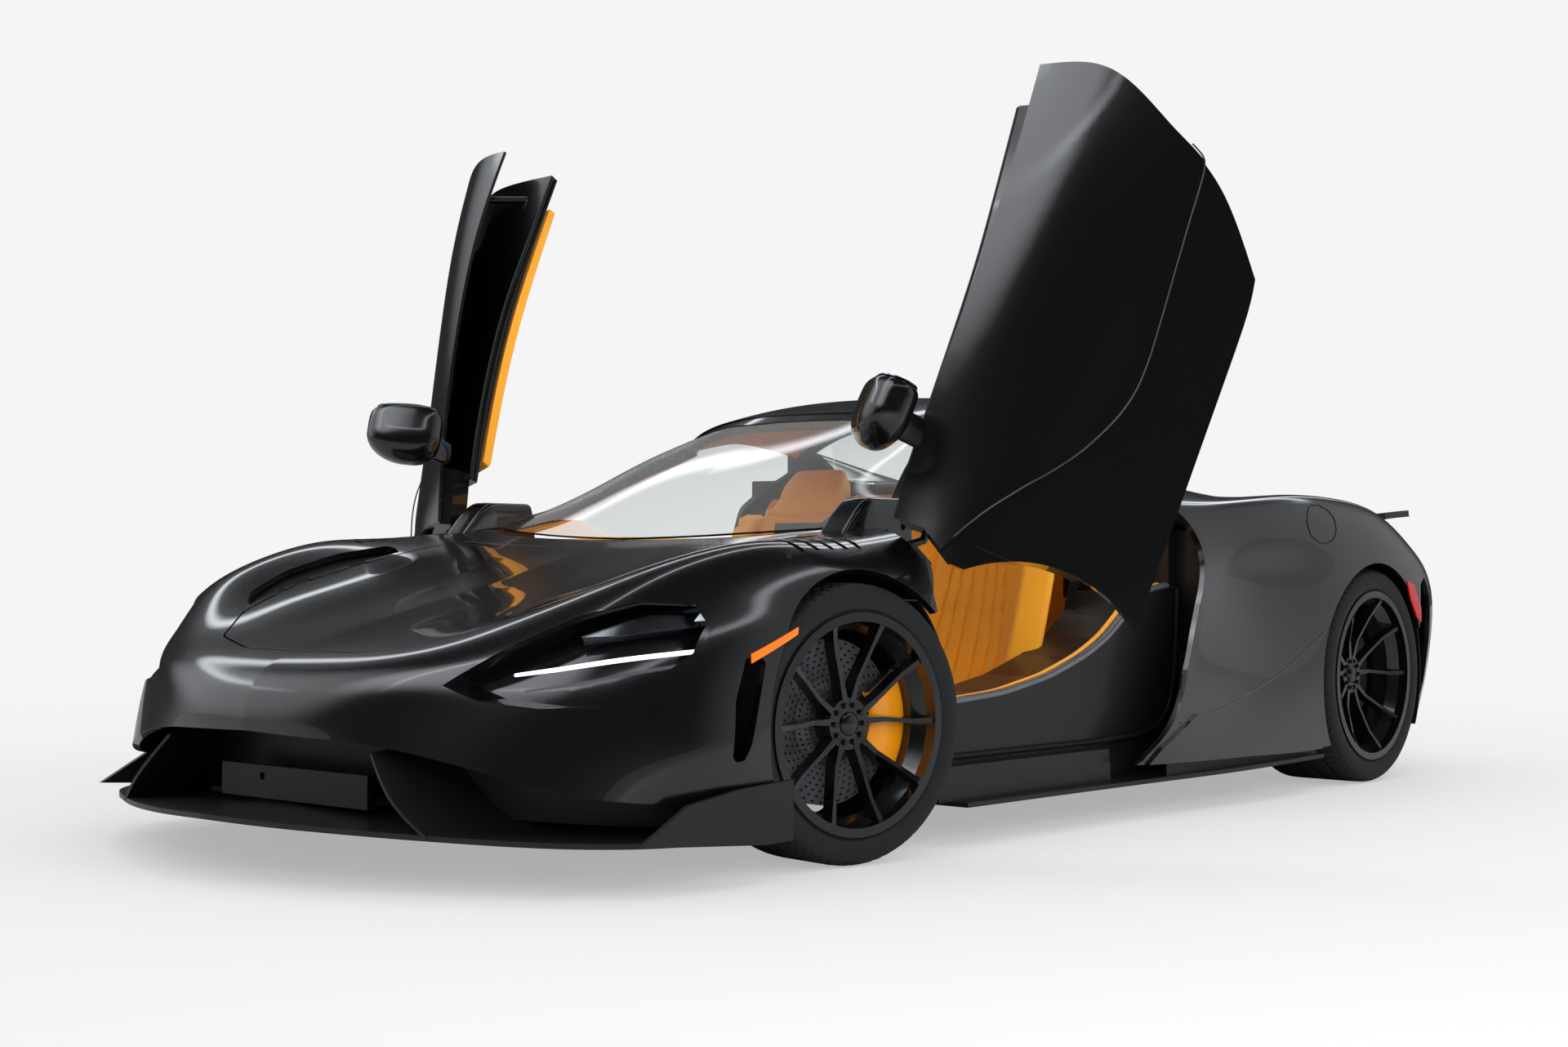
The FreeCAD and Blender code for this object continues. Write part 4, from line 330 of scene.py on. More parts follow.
# Front clam and luggage lid.
# The nose and both front wings are one thin moulding, sprayed black; the lid between them lifts.
# Both lie on one smooth surface through a net of given points, parted along the shut line.
NOSE_NET = (
    ((0, -2.185, .318), (.200, -2.172, .312), (.400, -2.130, .300), (.600, -2.060, .262),
     (.770, -1.950, .215), (.880, -1.800, .190), (.930, -1.640, .190), (.945, -1.490, .205)),
    ((0, -2.175, .395), (.200, -2.163, .392), (.400, -2.115, .388), (.620, -2.022, .378),
     (.790, -1.905, .360), (.895, -1.760, .330), (.942, -1.600, .310), (.950, -1.430, .290)),
    ((0, -2.120, .458), (.210, -2.110, .460), (.430, -2.070, .468), (.650, -1.960, .480),
     (.800, -1.840, .480), (.890, -1.700, .470), (.940, -1.540, .430), (.955, -1.350, .330)),
    ((0, -2.000, .505), (.220, -1.990, .510), (.440, -1.950, .530), (.680, -1.830, .588),
     (.800, -1.740, .590), (.885, -1.610, .560), (.945, -1.450, .490), (.960, -1.240, .340)),
    ((0, -1.780, .562), (.220, -1.780, .570), (.450, -1.760, .592), (.690, -1.660, .675),
     (.810, -1.600, .660), (.890, -1.480, .610), (.955, -1.300, .510), (.965, -1.120, .310)),
    ((0, -1.450, .640), (.220, -1.450, .648), (.460, -1.440, .660), (.705, -1.400, .735),
     (.830, -1.360, .725), (.915, -1.250, .650), (.962, -1.100, .500), (.965, -.985, .250)),
    ((0, -1.180, .710), (.220, -1.180, .715), (.470, -1.170, .722), (.720, -1.141, .757),
     (.850, -1.120, .735), (.930, -1.050, .650), (.965, -.900, .480), (.962, -.850, .200)),
    ((0, -1.005, .752), (.230, -.990, .757), (.480, -.945, .769), (.735, -.855, .786),
     (.860, -.815, .745), (.928, -.775, .640), (.952, -.722, .450), (.945, -.712, .160)))
HOOD_LINE = np.array([(0, -2.045), (.20, -2.040), (.36, -1.985), (.455, -1.86), (.515, -1.65), (.545, -1.40),
                      (.560, -1.18), (.545, -1.055), (.40, -1.065), (.20, -1.085), (0, -1.09)])
EYE_RING = np.array([(.500, .431), (.580, .400), (.700, .385), (.800, .388), (.862, .430), (.892, .505),
                     (.882, .570), (.850, .612), (.780, .618), (.690, .585), (.600, .520), (.540, .465)])
LENGTH = 4.6
REAR_OVERHANG = 0.771
WHEELBASE = 2.67
REAR_AXLE = LENGTH / 2 - REAR_OVERHANG
FRONT_AXLE = REAR_AXLE - WHEELBASE
FRONT_TYRE_RADIUS = 0.327
FRONT_ARCH = 0.359
SKIN = 18 * MM
SHUT_HALF = 3 * MM
SLOPE_STEP = 0.01
HALVINGS = 14
SHARP_FROM = math.radians(38)


def bends(count):
    """Rows that give the second differences of the natural cubic through count values."""
    system = np.eye(count)
    source = np.zeros((count, count))
    for i in range(1, count - 1):
        system[i, i - 1:i + 2] = (1, 4, 1)
        source[i, i - 1:i + 2] = (6, -12, 6)
    return np.linalg.solve(system, source)


def shares(places, count):
    """How much of each net value a place takes: linear, plus cubic terms in the second differences."""
    low = np.clip(np.floor(places).astype(int), 0, count - 2)
    right = (places - low)[..., None]
    left = 1 - right
    whole_share = np.eye(count)
    table = bends(count)
    return (left * whole_share[low] + right * whole_share[low + 1]
            + ((left ** 3 - left) * table[low] + (right ** 3 - right) * table[low + 1]) / 6)


def surface(net, u, v):
    """The smooth sheet through the net: natural cubics along its rows (u) and its columns (v)."""
    net = np.asarray(net, float)
    return np.einsum("...c,...r,rck->...k", shares(u, net.shape[1]), shares(v, net.shape[0]), net)


def upright(net, u, v):
    """Unit normals: the cross product of the sheet's two slopes."""
    along = surface(net, u + SLOPE_STEP, v) - surface(net, u - SLOPE_STEP, v)
    down = surface(net, u, v + SLOPE_STEP) - surface(net, u, v - SLOPE_STEP)
    return unit(np.cross(along, down))


def formed(net, u, v, swell):
    """The sheet pushed out along its normals by swell(points)."""
    points = surface(net, u, v)
    if swell is None:
        return points
    return points + upright(net, u, v) * swell(points)[..., None]


def trimmed(net, across, down, keep=None, swell=None, span=None):
    """Grid points and normals; a point just outside keep() >= 0 slides along the grid to its edge."""
    rows, columns = len(net), len(net[0])
    u_low, u_high, v_low, v_high = span or (0, columns - 1, 0, rows - 1)
    step_u, step_v = (u_high - u_low) / (across - 1), (v_high - v_low) / (down - 1)
    u, v = np.meshgrid(np.linspace(u_low, u_high, across), np.linspace(v_low, v_high, down))
    used = np.ones(u.shape, bool)
    if keep is not None:
        level = keep(formed(net, u, v, swell))
        inside = level >= 0
        padded = np.pad(level, 1, constant_values=-np.inf)
        best = np.full(level.shape, -np.inf)
        go_u, go_v = np.zeros(u.shape), np.zeros(u.shape)
        for a, b in ((0, 1), (0, -1), (1, 0), (-1, 0), (1, 1), (1, -1), (-1, 1), (-1, -1)):
            near = padded[1 + a:1 + a + level.shape[0], 1 + b:1 + b + level.shape[1]]
            better = (near >= 0) & (near > best) & ~((best >= 0) & (a != 0) & (b != 0))
            best = np.where(better, near, best)
            go_u = np.where(better, b * step_u, go_u)
            go_v = np.where(better, a * step_v, go_v)
        edge = ~inside & (best >= 0)
        out, back = np.zeros(edge.sum()), np.ones(edge.sum())
        for _ in range(HALVINGS):
            half = (out + back) / 2
            hit = keep(formed(net, u[edge] + go_u[edge] * half, v[edge] + go_v[edge] * half, swell)) >= 0
            back = np.where(hit, half, back)
            out = np.where(hit, out, half)
        u[edge] += go_u[edge] * back
        v[edge] += go_v[edge] * back
        used = inside
    points = formed(net, u, v, swell)
    along = formed(net, u + SLOPE_STEP, v, swell) - formed(net, u - SLOPE_STEP, v, swell)
    below = formed(net, u, v + SLOPE_STEP, swell) - formed(net, u, v - SLOPE_STEP, swell)
    return points, unit(np.cross(along, below)), used


def quads(used):
    """Corner numbers of the grid's cells that have a used corner, in turn."""
    rows, columns = used.shape
    number = np.arange(rows * columns).reshape(rows, columns)
    cell = used[:-1, :-1] | used[1:, :-1] | used[:-1, 1:] | used[1:, 1:]
    corners = np.stack([number[:-1, :-1], number[:-1, 1:], number[1:, 1:], number[1:, :-1]], -1)
    return corners[cell]


def whole(points, normals, used):
    """A half sheet whose first column is at x = 0, joined to its mirror image."""
    flip = np.array([-1.0, 1.0, 1.0])
    points = points.copy()
    points[:, 0, 0] = 0
    return (np.concatenate([(points * flip)[:, :0:-1], points], 1),
            np.concatenate([(normals * flip)[:, :0:-1], normals], 1),
            np.concatenate([used[:, :0:-1], used], 1))


def rim_of(points, normals, faces):
    """The edges a to b that belong to one face only, and each point's direction out across them."""
    count = len(points)
    starts = faces.ravel()
    ends = np.roll(faces, -1, axis=1).ravel()
    open_edges = ~np.isin(starts * count + ends, ends * count + starts)
    a, b = starts[open_edges], ends[open_edges]
    out = unit(np.cross(points[b] - points[a], normals[a] + normals[b]))
    away = np.zeros((count, 3))
    np.add.at(away, a, out)
    np.add.at(away, b, out)
    return a, b, unit(away)


def boxed(faces, a, b, count, layers):
    """Faces on the first layer, strips down the rim from each layer to the next, and the last turned over."""
    strips = [faces]
    for k in range(layers - 1):
        strips.append(np.stack([b + k * count, a + k * count, a + (k + 1) * count, b + (k + 1) * count], -1))
    strips.append(faces[:, ::-1] + (layers - 1) * count)
    return np.concatenate(strips)


def walled(points, normals, faces, depth, edge=1.2 * MM):
    """Outer sheet, inner sheet at depth under it, and a rounded rim between, with their normals."""
    a, b, away = rim_of(points, normals, faces)
    rings = [points, points - normals * edge, points - normals * (depth - edge), points - normals * depth]
    facing = [normals, away, away, -normals]
    return np.concatenate(rings), np.concatenate(facing), boxed(faces, a, b, len(points), len(rings))


def mesh_piece(name, points, faces, normals=None, material=None, body="chassis"):
    """Puts arrays into a mesh; a closed one whose signed volume is negative is turned outside out."""
    used, faces = np.unique(faces, return_inverse=True)
    faces = faces.reshape(-1, 4)
    points = points[used]
    if normals is None:
        a, b, c, d = (points[faces[:, k]] for k in range(4))
        volume = np.einsum("ij,ij", a, np.cross(b, c)) + np.einsum("ij,ij", a, np.cross(c, d))
        faces = faces[:, ::-1] if volume < 0 else faces
    mesh = bpy.data.meshes.new(name)
    mesh.from_pydata(points.tolist(), [], faces.tolist())
    mesh.polygons.foreach_set("use_smooth", np.ones(len(mesh.polygons), bool))
    if normals is not None:
        mesh.normals_split_custom_set_from_vertices(normals[used].tolist())
    else:
        mesh.set_sharp_from_angle(angle=SHARP_FROM)
    mesh.materials.append(material or paint)
    piece = bpy.data.objects.new(name, mesh)
    bpy.context.scene.collection.objects.link(piece)
    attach(piece, body)
    return piece


def panel(name, net, across, down, depth, keep=None, swell=None, middle=False, outward=1, place=None,
          body="chassis", material=None, span=None):
    """A walled sheet; middle joins it to its mirror image, place moves its points and turns its normals."""
    points, normals, used = trimmed(net, across, down, keep, swell, span)
    if middle:
        points, normals, used = whole(points, normals, used)
    faces = quads(used)
    if outward < 0:
        normals = -normals
        faces = faces[:, ::-1]
    points, normals = points.reshape(-1, 3), normals.reshape(-1, 3)
    if place is not None:
        points, normals, faces = place(points, normals, faces)
    points, normals, faces = walled(points, normals, faces, depth)
    return mesh_piece(name, points, faces, normals, material, body)


def mirrored(points, normals, faces):
    """The same piece on the car's other side, its faces turned so that they still point outwards."""
    flip = np.array([-1.0, 1.0, 1.0])
    return points * flip, normals * flip, faces[:, ::-1]


SIDES = (("left", None), ("right", mirrored))


def loop_curve(outline, steps):
    """A closed smooth line through the outline's points: evenly spaced periodic cubic."""
    points = np.asarray(outline, float)
    count = len(points)
    rolled = np.roll(np.eye(count), 1, 0)
    system = 4 * np.eye(count) + rolled + rolled.T
    second = np.linalg.solve(system, 6 * (np.roll(points, -1, 0) - 2 * points + np.roll(points, 1, 0)))
    place = np.linspace(0, count, steps, endpoint=False)
    low = np.floor(place).astype(int)
    right = (place - low)[:, None]
    left = 1 - right
    high = (low + 1) % count
    return (left * points[low] + right * points[high]
            + ((left ** 3 - left) * second[low] + (right ** 3 - right) * second[high]) / 6)


def outside(spots, ring):
    """Distance from each spot to the closed ring, negative inside it."""
    a, b = ring, np.roll(ring, -1, 0)
    gap = spots[..., None, :] - a
    way = b - a
    share = np.clip((gap * way).sum(-1) / (way * way).sum(-1), 0, 1)
    away = np.linalg.norm(gap - share[..., None] * way, axis=-1).min(-1)
    crosses = ((a[:, 1] > spots[..., 1:2]) != (b[:, 1] > spots[..., 1:2]))
    slope = way[:, 0] / np.where(way[:, 1] == 0, 1e-12, way[:, 1])
    left_of = spots[..., 0:1] < a[:, 0] + (spots[..., 1:2] - a[:, 1]) * slope
    within = (crosses & left_of).sum(-1) % 2 == 1
    return np.where(within, -away, away)


hood_ring = np.concatenate([HOOD_LINE, (HOOD_LINE * (-1, 1))[-2:0:-1]])
ARCH_DEPTH = 0.48


def from_arch(points, axle_y, axle_z, radius):
    """Distance outside a wheel arch's cylinder; points near the car's middle plane are never cut."""
    away = np.hypot(points[..., 1] - axle_y, points[..., 2] - axle_z) - radius
    return np.where(points[..., 0] > ARCH_DEPTH, away, 1.0)


SHUT_RING = np.array([(-.880, .570), (-.880, .625), (-.845, .690), (-.838, .760), (-.838, 1.20), (.80, 1.20),
                      (.80, -.10), (-.880, -.10)])
INTAKE_RING = np.array([(-1.615, .275), (-1.585, .262), (-1.560, .300), (-1.530, .400), (-1.505, .480),
                        (-1.520, .500), (-1.560, .490), (-1.600, .400)])
VENT_PLAN = np.array([(.478, -1.84), (.500, -1.75), (.532, -1.62), (.556, -1.45), (.572, -1.25),
                      (.640, -1.24), (.636, -1.42), (.604, -1.62), (.555, -1.76)])
LOUVRE_PLAN = np.array([(.690, -1.330), (.850, -1.300), (.858, -1.060), (.710, -1.020)])
NOTCH_INNER = 0.770
NOTCH_OUTER = 0.890
NOTCH_FRONT = -0.868
NOTCH_FOOT = 0.66
FLANK_FROM = 0.78
TOP_FROM = 0.5
LID_FROM = 0.35
SOCKET_UNTIL = -1.45
PLAN = (0, 1)
FACE_ON = (0, 2)
SIDE_ON = (1, 2)


def clam_keep(points):
    """Kept: outside the arch, lamp socket, lid, door, pin's notch, side intake, hood vent and louvres."""
    x, y, z = points[..., 0], points[..., 1], points[..., 2]
    plan, side = points[..., PLAN], points[..., SIDE_ON]
    return np.minimum.reduce([
        from_arch(points, FRONT_AXLE, FRONT_TYRE_RADIUS, FRONT_ARCH),
        np.where(y < SOCKET_UNTIL, outside(points[..., FACE_ON], EYE_RING), 1.0),
        np.where(z > LID_FROM, outside(plan, hood_ring) - SHUT_HALF, 1.0),
        np.where(x > FLANK_FROM, outside(side, SHUT_RING), 1.0),
        np.maximum.reduce([NOTCH_INNER - x, x - NOTCH_OUTER, NOTCH_FRONT - y, NOTCH_FOOT - z]),
        np.where(x > FLANK_FROM, outside(side, INTAKE_RING), 1.0),
        np.where(z > TOP_FROM, np.minimum(outside(plan, VENT_PLAN), outside(plan, LOUVRE_PLAN)), 1.0)])


def lid_keep(points):
    """Kept: inside the shut line, on the upper skin."""
    lid = -outside(points[..., PLAN], hood_ring) - SHUT_HALF
    return np.where(points[..., 2] > LID_FROM, lid, -1.0)


def inside_of(ring, view, margin=0.0):
    """A keep() for what lies inside a ring drawn in one view, by more than the margin."""
    return lambda points: -outside(points[..., view], ring) - margin


def lifted(height):
    """A swell() that moves the whole sheet along its normals."""
    return lambda points: np.full(points.shape[:-1], height)


SLAT_PITCH = 0.052
SLAT_SLANT = 0.12
SLAT_START = 0.10
SLOT_HALF = 9 * MM


def slat_keep(points):
    """Inside the louvres' opening, and further than half a slot from the slots' slanted middle lines."""
    row = (points[..., 1] - SLAT_SLANT * points[..., 0] + SLAT_START) / SLAT_PITCH
    slat = np.abs(row % 1 - .5) * SLAT_PITCH - SLOT_HALF
    return np.minimum(-outside(points[..., PLAN], LOUVRE_PLAN) - 1 * MM, slat)


clam = panel("clam_skin", NOSE_NET, 110, 120, SKIN, clam_keep, middle=True)
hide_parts("front_clam")
for side, place in SIDES:
    louvres = panel("louvre_slats_%s" % side, NOSE_NET, 70, 110, 6 * MM, slat_keep, place=place,
                    span=(2.4, 4.9, 4.7, 6.7))
    floor_patch = panel("louvre_floor_%s" % side, NOSE_NET, 30, 30, 2 * MM,
                        inside_of(LOUVRE_PLAN, PLAN, -15 * MM), lifted(-22 * MM), place=place,
                        material=plastic, span=(2.2, 5.0, 4.6, 6.8))
    vent = panel("hood_vent_floor_%s" % side, NOSE_NET, 40, 60, 2 * MM, inside_of(VENT_PLAN, PLAN, -12 * MM),
                 lifted(-24 * MM), place=place, material=plastic, span=(1.9, 3.2, 3.3, 6.0))
lid = panel("lid_skin", NOSE_NET, 110, 120, SKIN, lid_keep, middle=True, body="hood")
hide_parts("hood_lid")


# Roof and windscreen.
# The roof is one thin panel pressed over a hoop and sprayed black.
# The laminated screen curves both ways and lies under the edges of slim painted pillars.
ROOF_NET = (
    ((0, -.190, 1.138), (.16, -.190, 1.136), (.32, -.187, 1.121), (.44, -.178, 1.092), (.505, -.168, 1.058)),
    ((0, -.02, 1.172), (.17, -.02, 1.170), (.34, -.02, 1.155), (.47, -.015, 1.12), (.53, -.01, 1.082)),
    ((0, .14, 1.193), (.17, .14, 1.190), (.34, .14, 1.17), (.48, .14, 1.13), (.545, .14, 1.088)),
    ((0, .36, 1.18), (.17, .36, 1.175), (.34, .36, 1.15), (.465, .365, 1.10), (.525, .37, 1.058)))
SCREEN_NET = (
    ((0, -.985, .760), (.22, -.970, .766), (.44, -.925, .778), (.61, -.850, .790), (.69, -.785, .800)),
    ((0, -.72, .905), (.20, -.710, .908), (.38, -.690, .900), (.515, -.650, .880), (.585, -.600, .862)),
    ((0, -.48, 1.015), (.19, -.475, 1.015), (.34, -.465, 1.005), (.455, -.445, .985), (.505, -.42, .965)),
    ((0, -.24, 1.105), (.17, -.24, 1.103), (.30, -.24, 1.095), (.395, -.235, 1.075), (.435, -.225, 1.055)))
PANE_TUCK = 9 * MM
roof = panel("roof_skin", ROOF_NET, 60, 60, 26 * MM, middle=True)
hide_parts("roof_panel")
# The pane's outer column reaches under the pillar's edge.
screen_net = [row[:-1] + ((row[-1][0] + PANE_TUCK,) + row[-1][1:],) for row in SCREEN_NET]
screen = panel("screen_pane", screen_net, 50, 60, 6 * MM, middle=True, material=glass)
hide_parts("windscreen")


# Rear deck.
# The cover over the engine bay is one thin moulding sprayed black, dished behind the cabin.
# Its two humps run back from the roof's corners to the tail.
DECK_NET = (
    ((0, .44, .93), (.2, .44, .93), (.36, .43, .96), (.47, .41, 1.055), (.56, .40, 1.01), (.698, .385, .935)),
    ((0, .66, .915), (.2, .66, .915), (.36, .65, .94), (.47, .64, 1.015), (.55, .63, .985),
     (.678, .625, .928)),
    ((0, .95, .885), (.2, .95, .885), (.36, .94, .905), (.46, .93, .955), (.54, .92, .948),
     (.667, .90, .917)),
    ((0, 1.30, .85), (.2, 1.30, .85), (.36, 1.30, .87), (.46, 1.30, .90), (.53, 1.30, .905),
     (.648, 1.34, .90)),
    ((0, 1.65, .83), (.2, 1.65, .832), (.35, 1.65, .845), (.45, 1.65, .865), (.52, 1.65, .878),
     (.626, 1.62, .888)),
    ((0, 1.95, .82), (.2, 1.95, .822), (.34, 1.95, .83), (.43, 1.95, .84), (.49, 1.95, .848),
     (.588, 1.94, .862)))
deck = panel("deck_skin", DECK_NET, 60, 60, 14 * MM, middle=True)
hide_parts("rear_deck")


# Doors.
# Each door is a thick hollow shell that swings up and out about one skew axis at the pillar's foot.
# It stands open, so its points are turned from the shut place about that axis.
DOOR_NET = (
    ((.938, -.99, .118), (.934, -.62, .128), (.930, -.25, .140), (.930, .0, .150), (.931, .110, .166)),
    ((.955, -.99, .270), (.946, -.62, .280), (.940, -.25, .285), (.940, .07, .300), (.941, .262, .312)),
    ((.960, -.99, .420), (.952, -.62, .415), (.948, -.25, .405), (.948, .10, .410), (.946, .335, .430)),
    ((.952, -.99, .520), (.954, -.62, .510), (.956, -.25, .495), (.955, .12, .500), (.944, .370, .515)),
    ((.938, -.99, .610), (.940, -.62, .605), (.948, -.25, .600), (.948, .14, .615), (.928, .425, .625)),
    ((.895, -.98, .690), (.905, -.62, .700), (.920, -.25, .713), (.917, .16, .725), (.885, .455, .740)),
    ((.835, -.97, .745), (.862, -.62, .790), (.870, -.28, .810), (.852, .10, .832), (.795, .425, .858)))
HINGE = np.array([0.676, -0.811, 0.800])
HINGE_AXIS = np.array([0.822, -0.358, -0.443])
OPEN_ANGLE = math.radians(75.8)


def swing(angle):
    """Rotation about the hinge axis by its own formula: identity, sine and versine terms."""
    x, y, z = HINGE_AXIS / np.linalg.norm(HINGE_AXIS)
    cross = np.array([[0, -z, y], [z, 0, -x], [-y, x, 0]])
    return np.eye(3) + math.sin(angle) * cross + (1 - math.cos(angle)) * cross @ cross


def opened_left(points, normals, faces):
    """A piece drawn on the shut left door, turned to where the door stands open."""
    turn = swing(OPEN_ANGLE)
    return (points - HINGE) @ turn.T + HINGE, normals @ turn.T, faces


def opened_right(points, normals, faces):
    """The same on the right door."""
    return mirrored(*opened_left(points, normals, faces))


DOOR_SIDES = (("left", opened_left), ("right", opened_right))


DOOR_BODY_NET = (
    ((.935, -.66, .420), (.935, -.40, .400), (.930, -.13, .390), (.930, .12, .400), (.925, .31, .420)),
    ((.890, -.66, .560), (.880, -.40, .540), (.872, -.13, .530), (.872, .12, .560), (.875, .35, .600)),
    ((.845, -.66, .680), (.830, -.40, .670), (.818, -.13, .660), (.812, .12, .690), (.815, .37, .720)),
    ((.776, -.66, .770), (.770, -.40, .785), (.745, -.13, .800), (.700, .10, .820), (.640, .36, .845)))
TRIM_RING = np.array([(-.60, .44), (-.30, .42), (-.10, .46), (.05, .53), (.16, .62), (.24, .70), (.29, .86),
                      (-.60, .86)])


def sweep(path, ring, ref, closed=False):
    """A ring of points at each path point, laid out along side = tangent x ref and up = side x tangent."""
    path = np.asarray(path, float)
    if closed:
        tangent = unit(np.roll(path, -1, 0) - np.roll(path, 1, 0))
    else:
        tangent = unit(np.gradient(path, axis=0))
    side = unit(np.cross(tangent, ref))
    up = np.cross(side, tangent)
    ring = np.asarray(ring, float)
    points = path[:, None] + ring[None, :, :1] * side[:, None] + ring[None, :, 1:] * up[:, None]
    if not closed:
        points = np.concatenate([path[:1, None] + 1e-3 * (points[:1] - path[:1, None]), points,
                                 path[-1:, None] + 1e-3 * (points[-1:] - path[-1:, None])])
    return points


def wrapped(count, around, closed=False):
    """Quads between neighbouring rings, and from the last ring to the first when closed."""
    number = np.arange(count * around).reshape(count, around)
    after = np.roll(number, -1, 0) if closed else number[1:]
    before = number if closed else number[:-1]
    return np.stack([before, np.roll(before, -1, 1), np.roll(after, -1, 1), after], -1).reshape(-1, 4)


def bar(name, path, ring, ref, material, body="chassis", closed=False, place=None):
    """A closed section carried along a path."""
    points = sweep(path, ring, ref, closed)
    faces = wrapped(points.shape[0], points.shape[1], closed)
    flat = points.reshape(-1, 3)
    if place is not None:
        flat, _, faces = place(flat, flat, faces)
    return mesh_piece(name, flat, faces, None, material, body)


def round_ring(radius, steps=12):
    """A round section."""
    turn = np.linspace(0, 2 * math.pi, steps, endpoint=False)
    return radius * np.stack([np.cos(turn), np.sin(turn)], -1)


def sampled(net, across, down):
    """Points and unit normals of the whole sheet on an even grid, as two lists."""
    u, v = np.meshgrid(np.linspace(0, len(net[0]) - 1, across), np.linspace(0, len(net) - 1, down))
    return surface(net, u, v).reshape(-1, 3), upright(net, u, v).reshape(-1, 3)


def laid(marks, lift, skin):
    """The skin's points nearest to (y, z) marks, raised by lift along its normals."""
    spots, ways = skin
    near = ((spots[None, :, 1:] - marks[:, None]) ** 2).sum(-1).argmin(1)
    return spots[near] + ways[near] * lift


def on_skin(line, steps, lift, skin):
    """A smooth (y, z) line laid on the skin, then evened out by a running average."""
    path = laid(shares(np.linspace(0, len(line) - 1, steps), len(line)) @ line, lift, skin)
    for _ in range(4):
        path[1:-1] = (path[:-2] + 2 * path[1:-1] + path[2:]) / 4
    return path


# Extruded rubber is a dull black.
rubber_black = coated("seal_rubber_extruded", "#0b0b0b", 0.55, 0.0, 1.5, 0.3)
# The crease bars are a lighter grey than the lacquer beside them: a painted highlight along the crease.
crease_highlight_paint = coated("gloss_black_painted_crease_highlight", "#24262a", 0.16, 1.0, 6.0, 0.02)
CREASE_LINE = np.array([(-.797, .628), (-.664, .552), (-.503, .436), (-.350, .365), (-.211, .350),
                        (.024, .373), (.298, .400), (.44, .414)])
BELT_ROW = 3.0
BELT_REACH = np.linspace(0.02, 3.98, 80)
crease = on_skin(CREASE_LINE, 70, 10.5 * MM, sampled(DOOR_NET, 260, 200))
for side, place in DOOR_SIDES:
    # The crest bar's lighter grey is a painted highlight along the door's crease.
    crest = bar("door_crest_%s" % side, crease, round_ring(2.2 * MM), (1, 0, 0), crease_highlight_paint, "door_%s" % side,
                place=place)


def card_swell(points):
    """Inner face of the trim: a padded rest and three stitched furrows below it."""
    y, z = points[..., 1], points[..., 2]
    ring_gap = np.clip(-outside(points[..., SIDE_ON], TRIM_RING) / (25 * MM), 0, 1)
    crown = 6 * MM * np.sqrt(np.clip(1 - (1 - ring_gap) ** 2, 0, 1))
    rest = 42 * MM * np.exp(-((z - .585 - .1 * y) / .060) ** 2 - ((y + .25) / .30) ** 4)
    seams = sum(3.5 * MM * np.exp(-((z - at - .25 * y) / (4 * MM)) ** 2) for at in (.50, .68, .74))
    return -60 * MM - crown - rest + seams


belt_row = np.full(len(BELT_REACH), BELT_ROW)
for side, place in DOOR_SIDES:
    for depth in (5 * MM, 23 * MM):
        line = surface(DOOR_BODY_NET, BELT_REACH, belt_row)
        line = line - upright(DOOR_BODY_NET, BELT_REACH, belt_row) * depth + (0, 0, 3 * MM)
        seal = bar("belt_seal_%s_%d" % (side, depth / MM), line, round_ring(5 * MM), (0, 0, 1), rubber_black,
                   "door_%s" % side, place=place)
    card = panel("door_card_%s" % side, DOOR_BODY_NET, 110, 70, 26 * MM,
                 inside_of(TRIM_RING, SIDE_ON, 2 * MM), card_swell, outward=-1, place=place,
                 body="door_%s" % side, material=hide)
    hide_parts("door_%s_trim" % side)


# Quarter panels.
# The flanks behind the doors are moulded skins sprayed black, open at the arch and the outlet behind it.
# Where a shut door lies over them they are cut back, so that only what passes inside the door remains.
QUARTER_NET = (
    ((.930, .08, .15), (.935, .45, .14), (.938, .75, .135), (.940, 1.05, .13),
     (.945, 1.30, .14), (.950, 1.60, .16), (.930, 1.86, .19), (.890, 2.00, .21)),
    ((.940, .252, .25), (.935, .52, .26), (.935, .80, .27), (.945, 1.08, .28),
     (.955, 1.32, .29), (.958, 1.62, .30), (.940, 1.89, .32), (.900, 2.04, .33)),
    ((.945, .325, .385), (.935, .57, .40), (.930, .83, .41), (.945, 1.10, .42),
     (.960, 1.34, .43), (.963, 1.64, .44), (.948, 1.91, .45), (.905, 2.07, .46)),
    ((.945, .357, .50), (.920, .60, .52), (.915, .85, .53), (.940, 1.11, .55),
     (.963, 1.35, .56), (.965, 1.65, .56), (.950, 1.92, .56), (.905, 2.08, .57)),
    ((.932, .442, .63), (.905, .65, .66), (.910, .87, .67), (.940, 1.12, .68),
     (.960, 1.36, .69), (.963, 1.65, .69), (.940, 1.92, .68), (.880, 2.09, .67)),
    ((.900, .480, .76), (.905, .67, .78), (.925, .88, .79), (.943, 1.12, .81),
     (.950, 1.36, .82), (.942, 1.64, .81), (.900, 1.90, .77), (.820, 2.08, .75)),
    ((.840, .445, .857), (.865, .66, .865), (.885, .87, .887), (.895, 1.10, .908),
     (.893, 1.35, .910), (.875, 1.62, .89), (.825, 1.87, .84), (.740, 2.07, .80)),
    ((.775, .41, .895), (.785, .64, .898), (.790, .86, .906), (.785, 1.10, .915),
     (.775, 1.34, .912), (.755, 1.60, .895), (.710, 1.87, .86), (.645, 2.07, .828)),
    ((.705, .39, .93), (.685, .62, .925), (.675, .86, .915), (.665, 1.10, .905),
     (.655, 1.34, .898), (.635, 1.60, .885), (.605, 1.87, .865), (.565, 2.08, .845)))
OUTLET_RING = np.array([(1.845, .24), (1.90, .22), (1.975, .30), (1.995, .46), (1.985, .60), (1.93, .665),
                        (1.875, .64), (1.86, .45)])
REAR_TYRE_RADIUS = 0.3455
REAR_ARCH = 0.363
SHUT_GAP = 7 * MM
